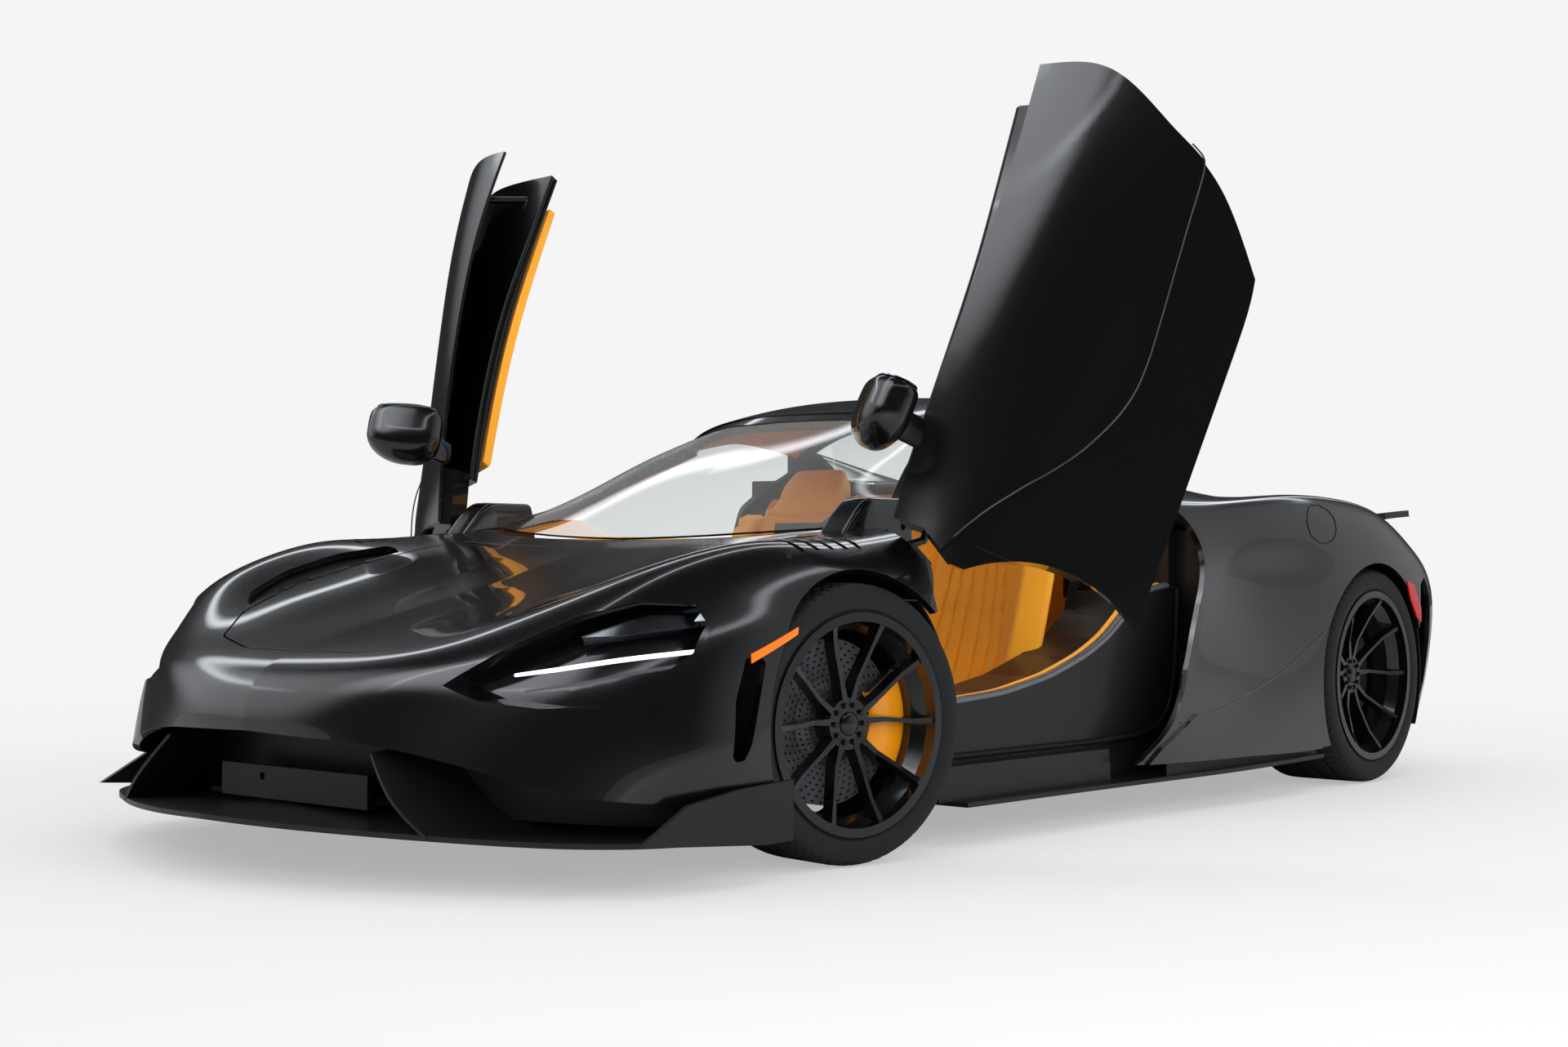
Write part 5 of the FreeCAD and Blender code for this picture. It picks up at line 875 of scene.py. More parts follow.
DOOR_THICKNESS = 48 * MM
net_end = np.array([len(DOOR_NET[0]) - 1, len(DOOR_NET) - 1])
side_run = np.linspace(0, 1, 20)[:-1, None]
corners = np.array([(0, 0), (1, 0), (1, 1), (0, 1), (0, 0)])
border = np.concatenate([corners[k] + side_run * (corners[k + 1] - corners[k]) for k in range(4)]) * net_end
DOOR_RING = surface(DOOR_NET, border[:, 0], border[:, 1])[:, 1:]
door_edge = surface(DOOR_NET, np.full(40, net_end[0]), np.linspace(0, net_end[1], 40))
door_edge = door_edge[np.argsort(door_edge[:, 2])]


def quarter_keep(points):
    """Clear of the arch and the outlet, and outside the door's outline or deeper than its inner skin."""
    side = points[..., SIDE_ON]
    arch = from_arch(points, REAR_AXLE, REAR_TYRE_RADIUS, REAR_ARCH)
    beside = outside(side, DOOR_RING) - SHUT_GAP
    deeper = np.interp(points[..., 2], door_edge[:, 2], door_edge[:, 0]) - DOOR_THICKNESS - points[..., 0]
    return np.minimum.reduce([arch, outside(side, OUTLET_RING), np.maximum(beside, deeper)])


for side, place in SIDES:
    quarter = panel("quarter_%s" % side, QUARTER_NET, 160, 120, SKIN, quarter_keep, place=place)
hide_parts("quarter_panels")


# Seats.
# Each seat is a thin shell with a foam back, integral headrest and cushion under stitched orange hide.
# Crowned sheets swell between the seams, and a rounded rim runs round each pad.
SEAT_X = 0.355
CHANNELS = (.028, .075, .118)
BACK_NET = [[(x, y, z) for x, y in row] for z, row in (
    (.300, ((-.195, -.030), (-.150, .000), (0, .020), (.150, .000), (.195, -.030))),
    (.460, ((-.205, .010), (-.155, .065), (0, .085), (.155, .065), (.205, .010))),
    (.620, ((-.202, .070), (-.155, .115), (0, .130), (.155, .115), (.202, .070))),
    (.760, ((-.180, .135), (-.140, .165), (0, .172), (.140, .165), (.180, .135))),
    (.860, ((-.120, .200), (-.090, .202), (0, .202), (.090, .202), (.120, .200))),
    (.930, ((-.105, .232), (-.075, .228), (0, .228), (.075, .228), (.105, .232))),
    (.985, ((-.085, .272), (-.055, .266), (0, .266), (.055, .266), (.085, .272))))]
CUSHION_NET = [
    [(-.185, -.385, .270), (-.13, -.390, .258), (0, -.392, .252), (.13, -.390, .258), (.185, -.385, .270)],
    [(-.190, -.345, .335), (-.14, -.350, .312), (0, -.350, .305), (.14, -.350, .312), (.190, -.345, .335)],
    [(-.195, -.220, .350), (-.15, -.220, .308), (0, -.220, .300), (.15, -.220, .308), (.195, -.220, .350)],
    [(-.195, -.090, .352), (-.15, -.090, .302), (0, -.090, .292), (.15, -.090, .302), (.195, -.090, .352)],
    [(-.190, .020, .355), (-.15, .030, .300), (0, .040, .290), (.15, .030, .300), (.190, .020, .355)]]


def stuffed(points, normals, faces, depth, edge, steps=5):
    """Like walled, but the rim bulges: quarter rounds of radius edge join both sheets to the side."""
    a, b, away = rim_of(points, normals, faces)
    turn = np.linspace(0, math.pi / 2, steps)[:, None, None]
    upper = points + away * edge * np.sin(turn) - normals * edge * (1 - np.cos(turn))
    turn = turn[::-1]
    lower = points + away * edge * np.sin(turn) - normals * (depth - edge * (1 - np.cos(turn)))
    rings = np.concatenate([upper, lower])
    return rings.reshape(-1, 3), boxed(faces, a, b, len(points), len(rings))


def furrow(distance, width, depth):
    """A groove of the given depth whose sides fall off as a bell curve."""
    return -depth * np.exp(-(distance / width) ** 2)


def back_swell(points):
    """Channels down the middle, seams beside the wings and across under the headrest."""
    x, z = np.abs(points[..., 0]), points[..., 2]
    lower = np.clip((.84 - z) / .05, 0, 1)
    channels = sum(furrow(x - at * (1 - .25 * np.clip((z - .45) / .3, 0, 1)), 4.5 * MM, 10 * MM)
                   for at in CHANNELS)
    seams = furrow(x - .158 + .10 * np.clip(z - .70, 0, 1), 6 * MM, 9 * MM)
    across = furrow(z - .835 - .4 * x ** 2, 6 * MM, 9 * MM)
    wings = 16 * MM * np.exp(-((x - .185) / .03) ** 2) * lower
    return channels * lower + seams * lower + across + wings


def cushion_swell(points):
    """Channels run fore and aft; raised sides hold the thigh."""
    x, y = np.abs(points[..., 0]), points[..., 1]
    channels = sum(furrow(x - at, 5 * MM, 6 * MM) for at in CHANNELS)
    return channels + furrow(x - .150, 6 * MM, 8 * MM) + furrow(y + .30 - .8 * x ** 2, 5 * MM, 5 * MM)


def pad(name, net, across, down, depth, edge, swell, shift, material):
    """A stuffed sheet whose net is drawn about x = 0, moved sideways by shift."""
    points, normals, used = trimmed(net, across, down, None, swell)
    points, faces = stuffed(points.reshape(-1, 3), normals.reshape(-1, 3), quads(used), depth, edge)
    return mesh_piece(name, points + (shift, 0, 0), faces, None, material)


for side, shift in (("left", SEAT_X), ("right", -SEAT_X)):
    back = pad("seat_back_%s" % side, BACK_NET, 90, 110, 95 * MM, 18 * MM, back_swell, shift, hide)
    cushion = pad("seat_cushion_%s" % side, CUSHION_NET, 80, 80, 130 * MM, 20 * MM, cushion_swell,
                  shift, hide)
    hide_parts("seat_%s" % side)


# Cabin lining.
# The headliner, the screen pillars and the dash top are wrapped in the seats' orange hide.
# Each is a thin sheet just inside the panel that carries it.
PILLAR_NET = (
    ((.693, -.782, .803), (.722, -.752, .806), (.742, -.730, .790)),
    ((.588, -.598, .865), (.618, -.580, .868), (.645, -.560, .850)),
    ((.508, -.418, .968), (.540, -.400, .970), (.568, -.380, .952)),
    ((.438, -.223, 1.058), (.478, -.205, 1.062), (.512, -.190, 1.045)))
DASH_NET = [[(0, -.795, .757), (.30, -.790, .757), (.50, -.770, .757), (.625, -.740, .757)],
            [(0, -.68, .759), (.30, -.68, .759), (.50, -.67, .759), (.63, -.66, .757)],
            [(0, -.565, .757), (.30, -.565, .757), (.50, -.565, .757), (.632, -.57, .755)],
            [(0, -.492, .715), (.30, -.492, .715), (.50, -.495, .715), (.632, -.50, .712)]]
# Napped microfibre is a darker, softer orange than the seats' leather.
lining = hide_material("microfibre_orange_napped", "#d9700a")
headliner = panel("headliner", ROOF_NET, 40, 30, 3 * MM, swell=lifted(-27 * MM), middle=True, material=lining)
for side, place in SIDES:
    trim = panel("pillar_lining_%s" % side, PILLAR_NET, 12, 40, 2 * MM, swell=lifted(-43 * MM), place=place,
                 material=lining)
dash_top = panel("dash_top", DASH_NET, 60, 30, 3 * MM, middle=True, material=hide,
                 swell=lambda p: 2 * MM + furrow(np.abs(p[..., 1] + .62), 4 * MM, 2 * MM))


# Headlamps, markers and tail lamps.
# A slim projector lamp and a thin white light bar stand in each dark socket; markers are amber and red.
# The lamp and the bar are mouldings that follow the nose's surface some way below it.
def glowing(name, colour, strength):
    """A lit moulding: its own light, a little uneven, under a clear coat."""
    material, tree = blank(name)
    noise = grain_of(tree, 8.0)
    power = add(tree, "MapRange", {"To Min": strength * 0.85, "To Max": strength * 1.15}, {"Value": noise})
    shade = add(tree, "BsdfPrincipled",
                {"Base Color": linear(colour), "Roughness": 0.2, "Coat Weight": 0.5,
                 "Emission Color": linear(colour)},
                {"Emission Strength": power})
    add(tree, "OutputMaterial", {}, {"Surface": shade})
    return material


LAMP_RING = np.array([(.690, .536), (.760, .540), (.830, .556), (.874, .568), (.870, .598), (.845, .607),
                      (.790, .590), (.735, .560)])
BAR_RING = np.array([(.625, .456), (.700, .468), (.790, .487), (.882, .506), (.882, .514), (.790, .495),
                     (.700, .4745), (.625, .460)])
PROJECTOR_RING = np.array([(.832, .572), (.866, .578), (.864, .597), (.845, .602), (.828, .592)])
# The opal bar burns an even cool white; the lens and the markers glow a little through tinted acrylic.
white_light = glowing("light_bar_white_lit", "#f4f8ff", 1.4)
lens_lit = glowing("projector_lens_lit", "#dfe8f2", 0.55)
amber = glowing("marker_lens_amber", "#ff6a00", 0.22)
red = glowing("tail_lens_red", "#b00806", 0.16)
# Aluminium vapour on a moulded bowl mirrors what is round it, slightly waved.
reflector = coated("lamp_reflector_chromed", "#8f949c", 0.18, 1.0, 9.0, 0.8, 1.0)
for side, place in SIDES:
    lamp = panel("lamp_unit_%s" % side, NOSE_NET, 80, 80, 26 * MM, inside_of(LAMP_RING, FACE_ON),
                 lifted(-36 * MM), place=place, material=reflector, span=(2.6, 5.6, 1.6, 4.2))
    light = panel("light_bar_%s" % side, NOSE_NET, 110, 110, 8 * MM, inside_of(BAR_RING, FACE_ON),
                  lifted(-22 * MM), place=place, material=white_light, span=(2.4, 5.8, 1.2, 3.4))
    projector = panel("lamp_projector_%s" % side, NOSE_NET, 160, 160, 5 * MM,
                      inside_of(PROJECTOR_RING, FACE_ON), lifted(-33 * MM), place=place, material=lens_lit,
                      span=(4.0, 5.6, 2.6, 4.2))
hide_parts("headlamp_units")
for node_name, lit in (("side_markers", amber), ("tail_lamps", red)):
    frame["nodes"][node_name].data.materials[0] = lit


# Tyres and calipers.
# Road tyres with four round grooves and cut shoulder blocks, and the orange cheeks of the front calipers.
# A tyre is one closed section turned about its axle, its tread radius lowered where a slot runs.
STEER = math.radians(-9.9)
KINGPIN_X = 0.775
HUBS = {"front": (0.828, FRONT_AXLE, FRONT_TYRE_RADIUS), "rear": (0.802, REAR_AXLE, REAR_TYRE_RADIUS)}
HANDS = (("left", 1), ("right", -1))


def wheel_place(side, corner):
    """Moves points drawn about the hub (+X outward) to their wheel, the front ones steered."""
    def place(points, normals, faces):
        """Sets the piece on its hub, mirrors it for the right side and turns it about the kingpin."""
        points = points + HUBS[corner]
        if side < 0:
            points, normals, faces = mirrored(points, normals, faces)
        if corner == "front":
            c, s = math.cos(STEER), math.sin(STEER)
            turn = np.array([[c, -s, 0], [s, c, 0], [0, 0, 1]])
            centre = np.array([side * KINGPIN_X, FRONT_AXLE, 0])
            points, normals = (points - centre) @ turn.T + centre, normals @ turn.T
        return points, normals, faces

    return place


def lathe(section, steps, shape=None):
    """The closed (outward, radius) section turned about X; shape(a, r, turn) may change its radii."""
    section = np.asarray(section, float)
    turn = np.linspace(0, 2 * math.pi, steps, endpoint=False)[:, None]
    a = np.broadcast_to(section[None, :, 0], (steps, len(section)))
    r = np.broadcast_to(section[None, :, 1], (steps, len(section)))
    if shape is not None:
        r = shape(a, r, turn)
    points = np.stack([a, r * np.cos(turn), r * np.sin(turn)], -1)
    return points.reshape(-1, 3), wrapped(steps, len(section), True)[:, ::-1]


GROOVES = (.55, .18, -.18, -.55)
GROOVE_SECTION = ((.0055, 0), (.0045, .006), (-.0045, .006), (-.0055, 0))


def tyre_section(radius, half, rim):
    """The wall bulges from the bead to the shoulder; the tread is flat between four grooves."""
    wall = radius - rim
    side = [(half - .0125, rim - .0127), (half - .0120, rim + .003), (half - .006, rim + .008),
            (half - .003, rim + .2 * wall), (half - .0003, rim + .42 * wall), (half - .001, rim + .62 * wall),
            (half - .006, rim + .80 * wall), (half - .012, radius - .0085), (half - .022, radius - .0035)]
    tread = [(half - .034, radius - .001)]
    for middle in GROOVES:
        tread += [(middle * half + w, radius - d) for w, d in GROOVE_SECTION]
    tread += [(-half + .034, radius - .001)]
    inner = [(-half + .020, rim - .0127), (-half + .016, rim + .4 * wall), (-half + .03, radius - .016),
             (half - .03, radius - .016), (half - .016, rim + .4 * wall), (half - .020, rim - .0127)]
    return side + tread + [(-a, r) for a, r in reversed(side)] + inner


TREAD_BLOCKS = 72
TREAD_SLANT = 260
SLOT_DEPTH = 5 * MM


def tread_cut(radius, half):
    """Shoulder blocks: slanted slots, smooth square waves of the turn, deepen towards the edge."""
    def shape(a, r, turn):
        """Lowers the radii near the tread where the wave is high."""
        wave = np.sin(TREAD_BLOCKS * turn + TREAD_SLANT * np.abs(a))
        slot = np.clip((wave - .55) * 5, 0, 1) * np.clip((np.abs(a) - .35 * half) / (.2 * half), 0, 1)
        return np.where(r > radius - 12 * MM, r - SLOT_DEPTH * slot, r)
    return shape


# Radius, half width and bead radius of each axle's tyres.
TYRES = {"front": (FRONT_TYRE_RADIUS, .1225, .259), "rear": (REAR_TYRE_RADIUS, .1525, .2715)}
TYRE_STEPS = 432
for corner, (radius, half, rim) in TYRES.items():
    for name, side in HANDS:
        points, faces = lathe(tyre_section(radius, half, rim), TYRE_STEPS, tread_cut(radius, half))
        points, _, faces = wheel_place(side, corner)(points, points, faces)
        tyre = mesh_piece("tyre_%s_%s_tread" % (corner, name), points, faces, None, rubber,
                          "wheel_%s_%s" % (corner, name))
        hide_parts("tyre_%s_%s" % (corner, name))
# Stoved enamel on the calipers is a smooth, strong orange.
caliper_paint = coated("caliper_enamel_orange", "#f0960a", 0.3, 0.6, 3.0, 0.05)
CHEEK_RADIUS = 0.165
CHEEK_OUT = 0.0215
CHEEK_RING = [(-.046, -.0125), (.046, -.0125), (.046, .010), (.030, .0125), (-.030, .0125), (-.046, .010)]
cheek_turn = np.radians(np.linspace(-33, 33, 40))
cheek_arc = np.stack([np.full(40, CHEEK_OUT), CHEEK_RADIUS * np.cos(cheek_turn),
                      CHEEK_RADIUS * np.sin(cheek_turn)], -1)
for name, side in HANDS:
    cheek = bar("caliper_%s" % name, cheek_arc, loop_curve(CHEEK_RING, 36), (-1, 0, 0), caliper_paint,
                "knuckle_%s" % name, place=wheel_place(side, "front"))


# Door mirrors.
# A teardrop shell of gloss black moulding stands on a thin blade from each door's shoulder.
# The shell is round in front, cut nearly flat behind, and the silvered glass sits just inside its rim.
MIRROR_CENTRE = np.array([0.960, -0.600, 0.906])
MIRROR_HALF = np.array([0.106, 0.088, 0.064])
PANE_HALF = (0.088, 0.050)
PANE_BACK = 0.080
PANE_THICKNESS = 3 * MM
BLADE_RING = [(-.036, 0), (-.020, .009), (.020, .009), (.040, 0), (.020, -.009), (-.020, -.009)]


def bulge(way):
    """The shell's share of full girth along its length: a round nose, and a tail that closes late."""
    nose = np.sqrt(np.clip(1 - np.abs(way) ** 2.2, 0, 1))
    return np.where(way < 0, nose, np.sqrt(np.clip(1 - way ** 7, 0, 1)))


def rounded(value, power):
    """The value's size raised to a power below one, its sign kept: squares off a circle."""
    return np.sign(value) * np.abs(value) ** power


turn = np.linspace(0, 2 * math.pi, 48, endpoint=False)[None]
wide, tall = rounded(np.cos(turn), 0.72), rounded(np.sin(turn), 0.80)
way = -np.cos(np.linspace(0.02, math.pi - 0.30, 60))[:, None]
girth = bulge(way)
girth = np.concatenate([girth, girth[-1] * np.array([[0.97], [0.93], [0.90], [0.001]])])
depth = np.concatenate([way, [[0.96], [0.94], [0.86], [0.86]]]) * np.ones_like(turn)
x = MIRROR_HALF[0] * girth * wide - 0.018 * np.clip(-depth, 0, 1) ** 2
z = MIRROR_HALF[2] * girth * tall * (1 - 0.12 * np.cos(turn))
mirror_points = (np.stack([x, MIRROR_HALF[1] * depth, z], -1) + MIRROR_CENTRE).reshape(-1, 3)
mirror_faces = wrapped(*depth.shape)
rim = np.stack([PANE_HALF[0] * wide[0], np.full(turn.size, PANE_BACK), PANE_HALF[1] * tall[0]], -1)
share = np.array([0.001, 0.5, 1.0, 1.0, 0.001])[:, None, None]
pane = rim * np.concatenate([share, np.ones_like(share), share], -1)
pane[3:, :, 1] -= PANE_THICKNESS
pane_points = (pane + MIRROR_CENTRE).reshape(-1, 3)
pane_faces = wrapped(len(share), turn.size)
spine = np.linspace([0.846, -0.585, 0.768], [0.925, -0.598, 0.872], 12)
for side, place in DOOR_SIDES:
    flat, _, faces = place(mirror_points, mirror_points, mirror_faces)
    shell = mesh_piece("mirror_shell_%s" % side, flat, faces, None, paint, "door_%s" % side)
    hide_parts("mirror_%s" % side)
    flat, _, faces = place(pane_points, pane_points, pane_faces)
    silver = mesh_piece("mirror_glass_%s" % side, flat, faces, None, reflector, "door_%s" % side)
    stalk = bar("mirror_blade_%s" % side, spine, loop_curve(BLADE_RING, 30), (1, 0, -.7), paint,
                "door_%s" % side, place=place)


# Hinge fairings and arch lips.
# A gloss fairing on each side of the cowl covers the post that holds the door's pin.
# A moulded lip closes the front arch behind the wheel, between the fender and the sill.
FAIRING_X = 0.685
FAIRING_FOOT = 0.722
FAIRING_FRONT = -1.040
FAIRING_LENGTH = 0.350
FAIRING_HEIGHT = 0.140
LIP_X = 0.820
LIP_RADIUS = 0.364
LIP_RING = [(-.003, -.094), (.003, -.094), (.003, .094), (0, .097), (-.003, .094)]
reach = np.linspace(0, 1, 50)[:, None]
rise = np.clip(reach / 0.55, 0, 1)
tail = np.clip((1 - reach) / 0.05, 0, 1)
height = FAIRING_HEIGHT * (3 * rise ** 2 - 2 * rise ** 3) * np.sqrt(1 - (1 - tail) ** 2) + 1 * MM
turn = np.linspace(0, 2 * math.pi, 40, endpoint=False)[None]
half = 0.048 - 0.012 * (1 - rise)
x = FAIRING_X + half * rounded(np.cos(turn), 0.28)
y = (FAIRING_FRONT + FAIRING_LENGTH * reach) * np.ones_like(turn)
z = FAIRING_FOOT + height * rounded(np.clip(np.sin(turn), 0, 1), 0.28) - 0.02 * np.clip(-np.sin(turn), 0, 1)
fairing_points = np.stack([x, y, z], -1).reshape(-1, 3)
angle = np.radians(np.linspace(-26, 50, 50))
lip_arc = np.stack([np.full(50, LIP_X), FRONT_AXLE + LIP_RADIUS * np.cos(angle),
                    FRONT_TYRE_RADIUS + LIP_RADIUS * np.sin(angle)], -1)
for side, place in SIDES:
    points, faces = fairing_points, wrapped(*x.shape)
    if place is not None:
        points, _, faces = place(points, points, faces)
    fairing = mesh_piece("hinge_fairing_%s" % side, points, faces, None, paint)
    lip = bar("arch_lip_%s" % side, lip_arc, LIP_RING, (1, 0, 0), plastic, place=place)


# Sill covers, seals and cabin rear.
# The sill's carbon side carries a rounded metal edge with an orange beading; a rubber seal rings the opening.
# Behind the seats the wall is padded in orange, and a black belt hangs from its shoulder.
SILL_X = 0.806
SILL_EDGE = [(-.740, .345), (-.66, .345), (-.40, .360), (-.18, .395), (0, .445), (.12, .495), (.21, .555),
             (.30, .620), (.44, .636)]
SILL_RING = [(.016 * math.cos(a), .010 * math.sin(a)) for a in np.linspace(0, 5.9, 16)]
BEAD_INSET = (.024, 0, 0)
SEAL_X = 0.829
SEAL_ROUTE = [(-.745, .214), (-.60, .212), (-.30, .212), (0, .212), (.24, .216), (.36, .236), (.428, .290),
              (.455, .380), (.466, .50), (.470, .63)]
STRAP = np.array([(.592, .392, .900), (.598, .330, .760), (.600, .262, .600), (.598, .215, .450),
                  (.590, .180, .330)])
STRAP_RING = [(-.023, -.001), (.023, -.001), (.023, .001), (-.023, .001)]
BINOMIAL = np.array([1, 4, 6, 4, 1]) / 16


def evened(line, steps, rounds):
    """The line at equal steps of its length, then averaged with binomial weights, its ends left alone."""
    line = np.asarray(line, float)
    run = np.concatenate([[0], np.cumsum(np.linalg.norm(np.diff(line, axis=0), axis=1))])
    even = np.stack([np.interp(np.linspace(0, run[-1], steps), run, part) for part in line.T], -1)
    for _ in range(rounds):
        even[2:-2] = np.stack([np.convolve(part, BINOMIAL, "valid") for part in even.T], -1)
    return even


# Satin aluminium is a soft pale grey line along the sill.
edge_metal = coated("aluminium_edge_satin", "#8e9094", 0.35, 0.2, 2.0, 0.15, 0.8)
# Woven polyester webbing is matt black with a coarse grain.
belt_web = coated("belt_webbing_woven", "#0d0d0e", 0.7, 0.0, 1.0, 0.6)
sill_line = np.column_stack([np.full(90, SILL_X), evened(SILL_EDGE, 90, 6) + (0, 2 * MM)])
seal_line = np.column_stack([np.full(80, SEAL_X), evened(SEAL_ROUTE, 80, 1)])
strap_run = np.linspace(0, len(STRAP) - 1, 50)
strap_line = np.stack([np.interp(strap_run, np.arange(len(STRAP)), part) for part in STRAP.T], -1)
for side, place in SIDES:
    cap = bar("sill_edge_%s" % side, sill_line, SILL_RING, (0, 0, 1), edge_metal, place=place)
    bead = bar("sill_beading_%s" % side, sill_line - BEAD_INSET, round_ring(9 * MM), (0, 0, 1), hide,
               place=place)
    seal = bar("aperture_seal_%s" % side, seal_line, round_ring(7.5 * MM), (1, 0, 0), rubber_black,
               place=place)
    belt = bar("belt_%s" % side, strap_line, STRAP_RING, (1, 0, 0), belt_web, place=place)
WALL_NET = [[(0, .458, z), (.25, .458, z), (.45, .452, z), (.585, .440, z)]
            for z in (.34, .50, .66, .80, .90)]


def wall_swell(points):
    """Two upright seams and one level seam part the padding."""
    return furrow(np.abs(points[..., 0]) - .30, 6 * MM, 4 * MM) + furrow(points[..., 2] - .70, 5 * MM, 3 * MM)


rear_wall = panel("bulkhead_lining", WALL_NET, 60, 40, 6 * MM, swell=wall_swell, middle=True, material=hide,
                  outward=-1)


# Drilled brake discs.
# Ground iron rings with small cross-drilled holes that spiral outwards; the holes are bumped in and painted
# near black, a painted shade for their depth.
# Polar angle about the axle gives the hole's place round the ring, the radius gives its row.
HOLES_ROUND = 44
HOLE_ROW = 13 * MM
ROW_TWIST = 0.37


def drilled(name, centre, turn):
    """Holes where the fractions of (angle in pitches plus row twist, radius in rows) are near one half."""
    material, tree = blank(name)
    place = add(tree, "TexCoord")
    local = add(tree, "Mapping",
                {"vector_type": "TEXTURE", "Location": centre, "Rotation": (0, 0, turn)},
                {"Vector": place.outputs["Object"]})
    parts = add(tree, "SeparateXYZ", {}, {0: local})
    angle = add(tree, "Math", {"operation": "ARCTAN2"}, {0: parts.outputs[2], 1: parts.outputs[1]})
    ring = add(tree, "CombineXYZ", {}, {0: parts.outputs[1], 1: parts.outputs[2]})
    radius = add(tree, "VectorMath", {"operation": "LENGTH"}, {0: ring})
    row = add(tree, "Math", {"operation": "DIVIDE", 1: HOLE_ROW}, {0: radius.outputs["Value"]})
    twist = add(tree, "Math", {"operation": "MULTIPLY", 1: ROW_TWIST}, {0: row})
    pitch = add(tree, "Math", {"operation": "MULTIPLY_ADD", 1: HOLES_ROUND / (2 * math.pi)},
                {0: angle, 2: twist})
    spots = add(tree, "CombineXYZ", {}, {0: pitch, 1: row})
    share = add(tree, "VectorMath", {"operation": "FRACTION"}, {0: spots})
    middle = add(tree, "VectorMath", {"operation": "DISTANCE", 1: (0.5, 0.5, 0)}, {0: share})
    hole_and_painted_shade = add(tree, "MapRange", {"From Min": 0.17, "From Max": 0.22}, {"Value": middle.outputs["Value"]})
    # Painted shade: the uncut holes are coloured near black against the grey iron.
    colour = add(tree, "Mix", {"data_type": "RGBA", 6: linear("#0c0c0d"), 7: linear("#5c5e61")}, {0: hole_and_painted_shade})
    dip = add(tree, "Bump", {"Strength": 0.6, "Distance": 1 * MM}, {"Height": hole_and_painted_shade})
    shade = add(tree, "BsdfPrincipled", {"Roughness": 0.38, "Metallic": 0.7},
                {"Base Color": colour.outputs[2], "Normal": dip})
    add(tree, "OutputMaterial", {}, {"Surface": shade})
    return material


for name, side in HANDS:
    c, s = math.cos(STEER), math.sin(STEER)
    arm = HUBS["front"][0] - KINGPIN_X
    front = (side * (KINGPIN_X + arm * c), FRONT_AXLE + side * arm * s, FRONT_TYRE_RADIUS)
    rear = (side * HUBS["rear"][0], REAR_AXLE, REAR_TYRE_RADIUS)
    for corner, centre, angle in (("front", front, STEER), ("rear", rear, 0)):
        disc = frame["nodes"]["disc_%s_%s" % (corner, name)]
        disc.data.materials[0] = drilled("iron_drilled_%s_%s" % (corner, name), centre, angle)


# Rear flank details.
# A round fuel flap, the flank's lower crease, a gloss winglet ahead of the rear wheel and a red lamp corner.
# Each follows the flank's own surface: its points are the nearest ones of the quarter panel, lifted a little.
FLANK = sampled(QUARTER_NET, 300, 220)
turn = np.linspace(0, 2 * math.pi, 49)[:-1]
FLAP_RING = np.stack([1.165 + .088 * np.cos(turn), .828 + .060 * np.sin(turn)], -1)
FLANK_CREASE = np.array([(1.17, .490), (1.02, .420), (.87, .361), (.70, .318), (.565, .289), (.42, .266),
                         (.30, .255)])
WINGLET_RING = np.array([(.085, .120), (.20, .190), (.392, .276), (.425, .232), (.65, .205), (.913, .172),
                         (1.16, .150), (1.16, .118)])
LAMP_CORNER = np.array([(1.745, .652), (1.800, .640), (1.868, .560), (1.872, .510),
                        (1.830, .530), (1.775, .590)])
RISER_LINE = [(.922, .25, .126), (.922, .70, .126), (.922, 1.16, .126)]
RISER_RING = [(-.026, -.003), (.026, -.003), (.026, .003), (-.026, .003)]
flap_line = laid(FLAP_RING, .5 * MM, FLANK)
ridge_line = on_skin(FLANK_CREASE, 60, 0, FLANK)
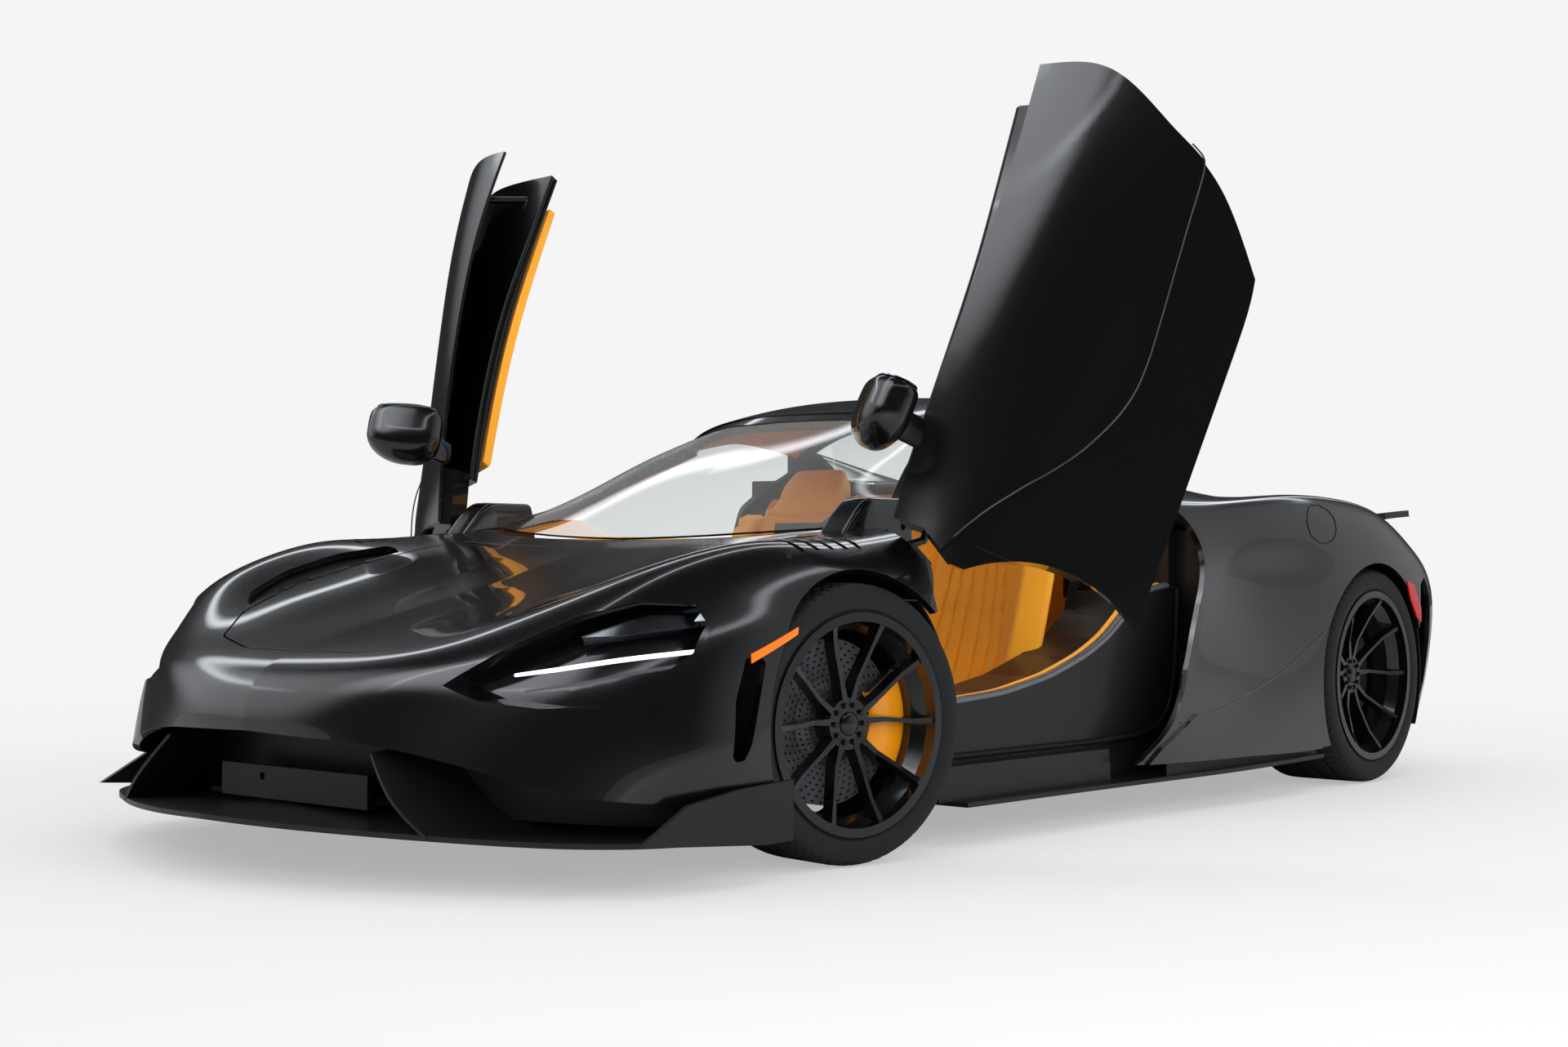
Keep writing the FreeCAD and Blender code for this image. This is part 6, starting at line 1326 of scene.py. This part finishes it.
for side, place in SIDES:
    flap = bar("fuel_flap_gap_%s" % side, flap_line, round_ring(1.6 * MM, 8), (1, 0, 0), rubber_black,
               closed=True, place=place)
    # The crease bar's lighter grey is a painted highlight along the flank's lower crease.
    ridge = bar("flank_crease_%s" % side, ridge_line, round_ring(2.5 * MM, 10), (1, 0, 0), crease_highlight_paint,
                place=place)
    winglet = panel("skirt_winglet_%s" % side, QUARTER_NET, 260, 120, 24 * MM,
                    inside_of(WINGLET_RING, SIDE_ON), lifted(9 * MM), place=place)
    riser = bar("skirt_riser_%s" % side, RISER_LINE, RISER_RING, (1, 0, 0), plastic, place=place)
    corner = panel("tail_lamp_corner_%s" % side, QUARTER_NET, 260, 160, 6 * MM,
                   inside_of(LAMP_CORNER, SIDE_ON), lifted(3 * MM), place=place, material=red)


# Wheel centres.
# A domed cap, bare of any mark, and ten conical bolts sit in each hub face.
# Both are short lathes about the axle, set on the spokes' inner face.
HUB_FACE = {"front": 0.0765, "rear": 0.0685}
CAP_SECTION = [(-.0055, .001), (-.0055, .0275), (.003, .0275), (.007, .024), (.0095, .014), (.0105, .001)]
BOLT_SECTION = [(.0003, .001), (.0003, .0078), (.008, .0068), (.010, .004), (.010, .001)]
BOLTS = 10
BOLT_CIRCLE = 0.044
cap_points, cap_faces = lathe(CAP_SECTION, 40)
bolt_points, bolt_faces = lathe(BOLT_SECTION, 6)
bolt_turn = np.arange(BOLTS) * 2 * math.pi / BOLTS
bolt_places = BOLT_CIRCLE * np.stack([0 * bolt_turn, np.cos(bolt_turn), np.sin(bolt_turn)], -1)
starts = len(cap_points) + np.arange(BOLTS) * len(bolt_points)
centre_points = np.concatenate([cap_points, (bolt_points + bolt_places[:, None]).reshape(-1, 3)])
centre_faces = np.concatenate([cap_faces, (bolt_faces + starts[:, None, None]).reshape(-1, 4)])
for corner, out in HUB_FACE.items():
    for name, side in HANDS:
        points = centre_points + (out, 0, 0)
        points, _, faces = wheel_place(side, corner)(points, points, centre_faces)
        centre = mesh_piece("wheel_centre_%s_%s" % (corner, name), points, faces, None, alloy,
                            "wheel_%s_%s" % (corner, name))
